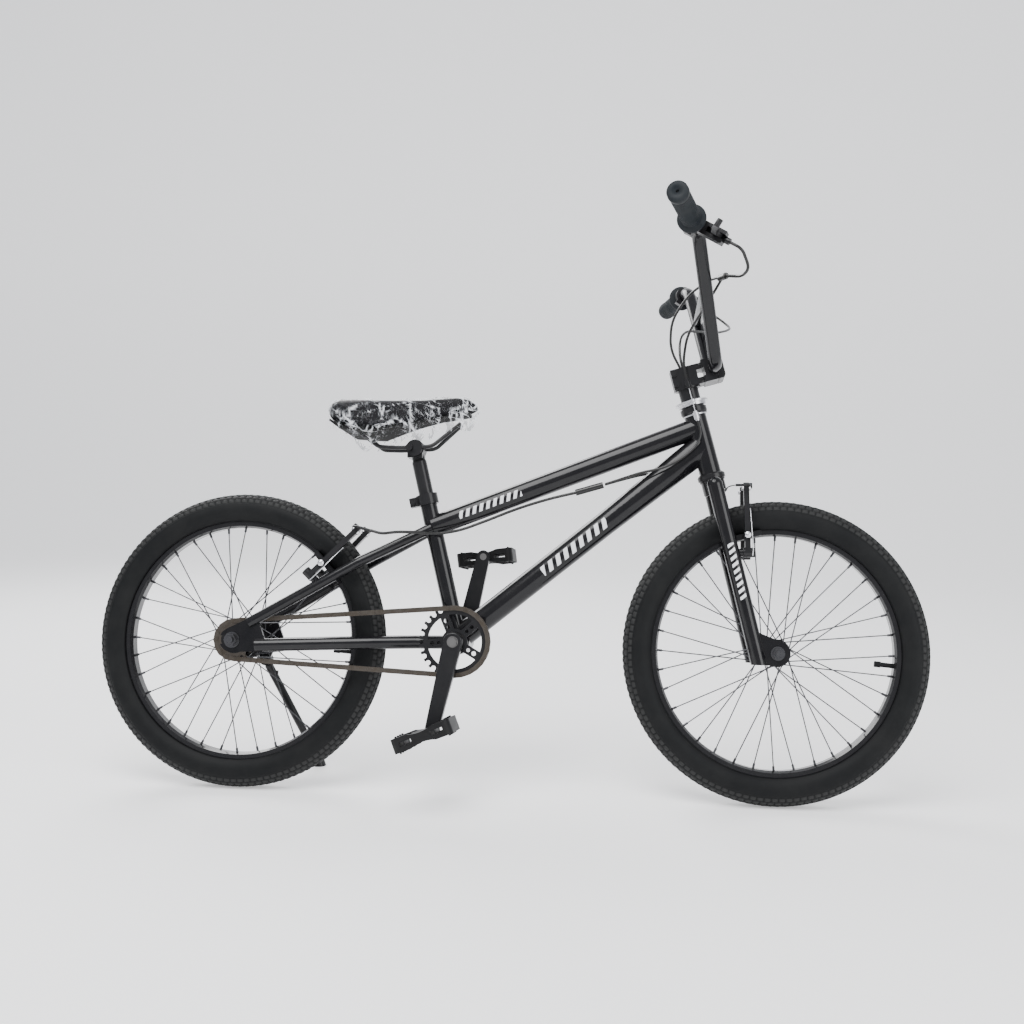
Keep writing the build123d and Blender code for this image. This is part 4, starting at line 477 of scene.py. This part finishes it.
# ---------------------------------------------------------------- settings
class BikeLooks(bpy.types.PropertyGroup):
    """Sizes and colours of the bike's finishes."""

    tread_depth: bpy.props.FloatProperty(
        name="Tread depth", description="Depth of the grooves between blocks", default=0.0026, unit="LENGTH")
    tread_row: bpy.props.FloatProperty(
        name="Tread row", description="Width of one row of blocks", default=0.0092, unit="LENGTH")
    tread_blocks: bpy.props.IntProperty(
        name="Blocks round the tyre", description="Blocks in one row round the wheel", default=128)
    film_gap: bpy.props.FloatProperty(
        name="Film gap", description="Film above the saddle's cover, in millimetres", default=3.0)
    film_crease: bpy.props.FloatProperty(
        name="Film crease", description="Height of the film's creases, in millimetres", default=2.6)
    frame_colour: bpy.props.FloatVectorProperty(
        name="Frame", description="Frame, fork and bar paint", default=(0.004, 0.004, 0.005), subtype="COLOR")
    part_colour: bpy.props.FloatVectorProperty(
        name="Parts", description="Satin black of stem, cranks and brakes", default=(0.008, 0.008, 0.009),
        subtype="COLOR")
    chain_colour: bpy.props.FloatVectorProperty(
        name="Chain", description="Oiled chain steel", default=(0.1, 0.088, 0.076), subtype="COLOR")
    mark_colour: bpy.props.FloatVectorProperty(
        name="Marks", description="Slanted bars on the tubes", default=(0.72, 0.73, 0.75), subtype="COLOR")
    grip_colour: bpy.props.FloatVectorProperty(
        name="Grips", description="Grip rubber", default=(0.009, 0.012, 0.015), subtype="COLOR")


class StageLooks(bpy.types.PropertyGroup):
    """Floor and light settings."""

    floor_colour: bpy.props.FloatVectorProperty(
        name="Floor", description="Floor and backdrop", default=(0.86, 0.86, 0.865), subtype="COLOR")
    key_power: bpy.props.FloatProperty(
        name="Key light", description="Power of the large overhead light", default=150.0, unit="POWER")
    lens: bpy.props.FloatProperty(
        name="Lens", description="Focal length for a 36 mm wide sensor, in millimetres", default=44.58)


def looks():
    return bpy.context.scene.bike_looks


def dress(material, *names):
    """Give CAD nodes a material in place of their own."""
    for name in names:
        mesh = NODES[name].data
        mesh.materials.clear()
        mesh.materials.append(material)


# ---------------------------------------------------------------- operators
# node, paint, the tube's two ends, which way is up on it, and its bars: where they start and
# stop along the tube, half their height and their pitch
MARKED_TUBES = (
    ("top_tube", "top_tube_paint", (330.9, 0, 456.9), (783.9, 0, 633.4), -1, (0.050, 0.165, 0.0065, 0.0125)),
    ("down_tube", "down_tube_paint", (380.0, 0, 264.0), (792.8, 0, 600.6), -1, (0.185, 0.325, 0.0085, 0.0165)),
    ("fork_legs", "fork_paint", (811.2, 0, 530.0), (884.6, 0, 234.7), 1, (0.100, 0.195, 0.0055, 0.011)),
)
BAR_SHARE = 0.6                   # of each pitch that is bar
BAR_SLANT = 0.5


class BMX_OT_frame_paint(bpy.types.Operator):
    """Gloss black paint on the frame and fork, with slanted bars on three tubes"""

    bl_idname = "bmx.frame_paint"
    bl_label = "Frame paint"

    def execute(self, context):
        colour = tuple(looks().frame_colour)
        marks = rgb(looks().mark_colour)
        plain = paint("frame_paint", colour, 0.2, 0.3)
        dress(plain, "head_tube", "seat_tube", "bottom_bracket_shell", "chainstays", "seatstays", "rear_dropouts",
              "frame_bosses", "fork_crown", "fork_fittings", "handlebar")
        for node, name, start, stop, side, (low, high, half_height, pitch) in MARKED_TUBES:
            start, stop = on_bike(start), on_bike(stop)
            run = (stop - start) / np.linalg.norm(stop - start)
            bars = slanted_bars(start, run, np.cross(run, AXLE_LINE) * side, low, high, half_height, pitch)
            dress(paint(name, colour, 0.2, 0.3, marks=bars, mark_colour=marks), node)
        return {"FINISHED"}


class BMX_OT_black_parts(bpy.types.Operator):
    """Satin black on stem, cranks, chainring, brakes and stand"""

    bl_idname = "bmx.black_parts"
    bl_label = "Black parts"

    def execute(self, context):
        colour = tuple(looks().part_colour)
        satin = paint("satin_black", colour, 0.36, 0.25)
        dress(satin, "seat_clamp", "headset_spacers", "stem", "stem_faceplate", "brake_lever_brackets",
              "brake_lever_right", "brake_lever_left", "gyro_upper_stop", "crank_arms", "chainring",
              "front_brake_arm_right", "front_brake_arm_left", "rear_brake_arm_right", "rear_brake_arm_left",
              "kickstand", "headset_bearings", "front_hub", "rear_hub", "seatpost", "saddle_rails")
        dress(paint("rim_paint", (0.006, 0.006, 0.007), 0.25, 0.4), "front_rim", "rear_rim")
        dress(plastic("pedal_plastic", (0.006, 0.006, 0.0065), 0.5), "pedal_right", "pedal_left")
        dress(plastic("saddle_base", (0.006, 0.006, 0.006), 0.5), "saddle_shell")
        dress(plastic("cable_housing", (0.012, 0.012, 0.012), 0.28, 0.4), "rear_brake_cable", "upper_brake_cable",
              "front_brake_cable")
        return {"FINISHED"}


class BMX_OT_bare_metal(bpy.types.Operator):
    """Chrome, steel and alloy on axles, spokes, rotor plates and chain"""

    bl_idname = "bmx.bare_metal"
    bl_label = "Bare metal"

    def execute(self, context):
        dress(metal("dark_steel", (0.1, 0.1, 0.105), 0.3, 0.3), "rear_axle", "front_axle")
        dress(metal("spoke_wire", (0.07, 0.07, 0.075), 0.36), "front_spokes", "rear_spokes")
        dress(metal("machined_steel", (0.2, 0.195, 0.19), 0.38, 0.4), "fork_steerer", "crank_spindle", "pedal_axles",
              "bottom_bracket_bearings")
        dress(metal("silver_alloy", (0.7, 0.7, 0.72), 0.34, 0.15), "gyro_upper_ring", "gyro_lower_ring",
              "gyro_lower_stop")
        chain = tuple(looks().chain_colour)
        dress(metal("chain_steel", chain, 0.42, 0.8, 300.0, (0.06, 0.045, 0.03, 1.0)), "chain",
              "freewheel_sprocket")
        return {"FINISHED"}


class BMX_OT_tyres(bpy.types.Operator):
    """Both tyres with their block tread"""

    bl_idname = "bmx.tyres"
    bl_label = "Tyres"

    def execute(self, context):
        # tread block tops get painted light, paler than the grooves
        black = rubber("tyre_rubber", (0.005, 0.0055, 0.006), 0.6, 0.05, painted_tread_light=0.2)
        for wheel, axle in (("front", FRONT_AXLE), ("rear", REAR_AXLE)):
            tyre = tyre_surface(wheel + "_tyre_tread", axle, looks(), black)
            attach(tyre, wheel + "_wheel")
            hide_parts(wheel + "_tyre")
        dress(black, "front_inner_tube", "rear_inner_tube")
        return {"FINISHED"}


# millimetres along the arm, outward and forward of its pivot
SPRING = ((-6, 9, 7), (4, 11.5, 8), (18, 9.5, 8), (38, 5, 7), (58, 0.5, 6.2), (74, -3.5, 5.8))
# distance along the axis and radius, in metres
PAD_NUT = (
    (0, 0.0001), (0, 0.0055), (0.0035, 0.0055), (0.0045, 0.0045), (0.0045, 0.003), (0.008, 0.003),
    (0.0085, 0.0024), (0.0085, 0.0001),
)
TOP_BOLT = (
    (-0.0075, 0.0001), (-0.0075, 0.0032), (-0.0068, 0.0042), (0.0068, 0.0042), (0.0075, 0.0032), (0.0075, 0.0001),
)


class BMX_OT_brake_fittings(bpy.types.Operator):
    """Return spring, pad nut and top bolt of each brake arm, in bright metal"""

    bl_idname = "bmx.brake_fittings"
    bl_label = "Brake fittings"

    def execute(self, context):
        bright = metal("bright_fittings", (0.72, 0.72, 0.74), 0.28, 0.2)
        for name, joint in JOINTS.items():
            if "_brake_arm_" not in name:
                continue
            pivot = np.array(joint["pos_m"])
            hinge = np.array(joint["axis"])
            outward = AXLE_LINE * np.sign((pivot - REAR_AXLE) @ AXLE_LINE)
            along = np.cross(outward, hinge)
            along = along / np.linalg.norm(along) * np.sign(along @ BIKE_UP)
            facing = hinge * np.sign(hinge @ np.array([1.0, 0.0, 0.0]))
            spring = np.stack([np.interp(np.linspace(0, 5, 26), range(6), way) for way in zip(*SPRING)], -1) * MM
            line = pivot + spring[:, :1] * along + spring[:, 1:2] * outward + spring[:, 2:] * facing
            pieces = [
                wire_tube("spring", line, 0.0009, 10, bright),
                turned_surface("nut", pivot + 0.029 * along + 0.0082 * outward, outward, PAD_NUT, bright, 24),
                turned_surface("bolt", pivot + 0.108 * along - 0.0085 * outward, hinge, TOP_BOLT, bright, 24),
            ]
            fittings = joined(name + "_fittings", pieces)
            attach(fittings, name)
        return {"FINISHED"}


BAR_SHOULDER = np.array([771.9, 190.0, 918.5])
BAR_END = np.array([734.8, 360.0, 924.1])
GRIP_LENGTH = 0.118
RIB_PITCH = 0.0042


class BMX_OT_grips(bpy.types.Operator):
    """Two ribbed rubber grips, each with its flange and closed end"""

    bl_idname = "bmx.grips"
    bl_label = "Grips"

    def execute(self, context):
        blue = rubber("grip_rubber", tuple(looks().grip_colour), 0.55, 0.2, 1200.0)
        pieces = []
        ribs = np.linspace(0.010, GRIP_LENGTH - 0.012, 240)
        swell = 0.0150 + 0.0010 * step(np.sin(ribs * 2 * np.pi / RIB_PITCH), 0.0, 0.8)
        stations = [(0.0, 0.0001), (0.0, 0.0024), (-0.004, 0.0026), (-0.004, 0.0145), (-0.0025, 0.0165),
                    (0.006, 0.0168), (0.008, 0.0155)]
        stations += list(zip(ribs, swell))
        stations += [(GRIP_LENGTH - back, radius) for back, radius in (
            (0.008, 0.0155), (0.0048, 0.0175), (0.004, 0.0222), (0.003, 0.023), (0.001, 0.023), (0.0, 0.022),
            (0.0, 0.0112))]
        for side in (-1, 1):
            end = on_bike(BAR_END * (1, side, 1))
            inward = on_bike(BAR_SHOULDER * (1, side, 1)) - end
            pieces.append(turned_surface("grip", end, inward, stations, blue))
        grips = joined("ribbed_grips", pieces)
        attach(grips, "steering")
        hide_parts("grips")
        return {"FINISHED"}


class BMX_OT_saddle(bpy.types.Operator):
    """Padded saddle cover with a seam, under clear crinkled film"""

    bl_idname = "bmx.saddle"
    bl_label = "Saddle"

    def execute(self, context):
        cover = leather("saddle_cover", (0.005, 0.005, 0.006))
        along = np.linspace(0.004, 0.996, 110)
        around = np.linspace(0, 2 * np.pi, 96, endpoint=False)
        points = saddle_section(along, around)
        seam = np.exp(-((points[..., 2] - (points[..., 2].mean(1, keepdims=True) - 3)) / 1.3) ** 2)
        points = points - outward_lines(points) * seam[..., None] * 1.2
        cushion = surface("saddle_cushion_padded", on_bike(points), False, True, True, cover, flip=False, cap=True)
        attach(cushion, "seat")
        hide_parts("saddle_cushion")

        gap, crease = looks().film_gap, looks().film_crease
        along = np.linspace(0.01, 0.99, 300)
        around = np.linspace(math.radians(-66), math.radians(246), 320)
        points = saddle_section(along, around, gap, 7.0)
        ridge = crinkle(points, 4, 6, 12.0)
        fine = crinkle(points, 9, 9, 3.6)
        points = points + outward_lines(points) * (ridge * crease + fine * 0.9 - 1.2)[..., None]
        edges = np.abs(np.linspace(-1, 1, len(around))) ** 6
        points[..., 2] -= (edges * 12)[None, :] * (0.6 + ridge)
        wrap = surface("saddle_film", on_bike(points), False, False, True, film("clear_film"))
        # crease mask for the film's painted white glints
        painted_glint_mask = wrap.data.attributes.new("crease", "FLOAT", "POINT")
        painted_glint_mask.data.foreach_set("value", np.clip((ridge - 0.55) * 1.5 + (fine - 0.5) * 1.6, 0, 1).ravel())
        corners = on_bike(points)
        forward, sideways = corners[1:, :-1] - corners[:-1, :-1], corners[:-1, 1:] - corners[:-1, :-1]
        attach(wrap, "seat")
        return {"FINISHED"}


# name, place, diameter and share of the key light's power
LIGHTS = (
    ("key_light", (-0.6, -1.6, 3.2), 2.6, 1.0),
    ("fill_light", (2.6, -2.2, 1.4), 2.2, 0.4),
    ("back_light", (-1.4, 1.8, 2.2), 1.8, 0.45),
)
LIGHT_AIM = (0.0, 0.0, 0.45)
CAMERA_PLACE = (688.14, -2169.37, 307.39)    # on the upright bike, in millimetres
CAMERA_TURN, CAMERA_TILT, CAMERA_ROLL = math.radians(5.81), math.radians(4.63), math.radians(-1.32)


class BMX_OT_stage(bpy.types.Operator):
    """Pale floor and backdrop, soft lights and the camera"""

    bl_idname = "bmx.stage"
    bl_label = "Stage"

    def execute(self, context):
        settings = context.scene.stage_looks
        shader = Shader("pale_floor")
        tone = shader.mix(shader.noise(3.0, 3.0) * 0.12, rgb(settings.floor_colour), (0.7, 0.7, 0.71, 1.0))
        pale = shader.finish(Base_Color=tone, Roughness=0.75, Emission_Color=(1.0, 1.0, 1.0, 1.0),
                             Emission_Strength=0.4)
        run = np.linspace(0, 1, 60)
        bend = np.clip((run - 0.6) / 0.2, 0, 1) * np.pi / 2
        depth = np.where(run < 0.6, -6 + run / 0.6 * 9, 3 + 1.5 * np.sin(bend))
        height = np.where(run < 0.6, 0, 1.5 - 1.5 * np.cos(bend))
        height = height + np.clip(run - 0.8, 0, 1) * 25
        wide = np.linspace(-9, 9, 12)
        points = np.stack(np.broadcast_arrays(wide[None, :], depth[:, None], height[:, None]), -1)
        floor = surface("floor", points, material=pale, flip=True)
        for name, place, size, share in LIGHTS:
            data = bpy.data.lights.new(name, "AREA")
            data.shape = "DISK"
            data.size = size
            data.energy = settings.key_power * share
            lamp = bpy.data.objects.new(name, data)
            lamp.location = place
            aim = Vector(LIGHT_AIM) - Vector(place)
            lamp.rotation_euler = aim.to_track_quat("-Z", "Y").to_euler()
            context.scene.collection.objects.link(lamp)
        world = bpy.data.worlds.new("soft_sky")
        world.use_nodes = True
        world.node_tree.nodes["Background"].inputs[0].default_value = (0.92, 0.94, 1.0, 1.0)
        world.node_tree.nodes["Background"].inputs[1].default_value = 0.7
        context.scene.world = world
        camera = bpy.data.cameras.new("view")
        camera.lens = settings.lens
        camera.sensor_width = 36.0
        camera.clip_end = 100.0
        eye = bpy.data.objects.new("view", camera)
        turn = (Matrix.Rotation(CAMERA_TURN, 3, "Z") @ Matrix.Rotation(CAMERA_TILT, 3, "X")
                @ Matrix.Rotation(CAMERA_ROLL, 3, "Y"))
        level = Matrix(((1, 0, 0), (0, 0, -1), (0, 1, 0)))
        lean = Matrix.Rotation(-LEAN, 3, "X")
        eye.matrix_world = Matrix.Translation(Vector(on_bike(CAMERA_PLACE))) @ (
            lean @ turn @ level).to_4x4()
        context.scene.collection.objects.link(eye)
        context.scene.camera = eye
        return {"FINISHED"}


OPERATORS = (
    BMX_OT_frame_paint, BMX_OT_black_parts, BMX_OT_bare_metal, BMX_OT_tyres, BMX_OT_brake_fittings, BMX_OT_grips,
    BMX_OT_saddle, BMX_OT_stage,
)


class BMX_PT_panel(bpy.types.Panel):
    """Sidebar list of the bike's pieces"""

    bl_idname = "BMX_PT_panel"
    bl_label = "BMX bike looks"
    bl_space_type = "VIEW_3D"
    bl_region_type = "UI"
    bl_category = "BMX"

    def draw(self, context):
        for operator in OPERATORS:
            self.layout.operator(operator.bl_idname)
        for group in (context.scene.bike_looks, context.scene.stage_looks):
            for name in group.__annotations__:
                self.layout.prop(group, name)


CLASSES = (BikeLooks, StageLooks) + OPERATORS + (BMX_PT_panel,)


def register():
    for item in CLASSES:
        bpy.utils.register_class(item)
    bpy.types.Scene.bike_looks = bpy.props.PointerProperty(type=BikeLooks)
    bpy.types.Scene.stage_looks = bpy.props.PointerProperty(type=StageLooks)


def unregister():
    del bpy.types.Scene.bike_looks
    del bpy.types.Scene.stage_looks
    for item in reversed(CLASSES):
        bpy.utils.unregister_class(item)


def main():
    register()
    for operator in OPERATORS:
        group, name = operator.bl_idname.split(".")
        getattr(getattr(bpy.ops, group), name)()


if __name__ == "__main__":
    main()
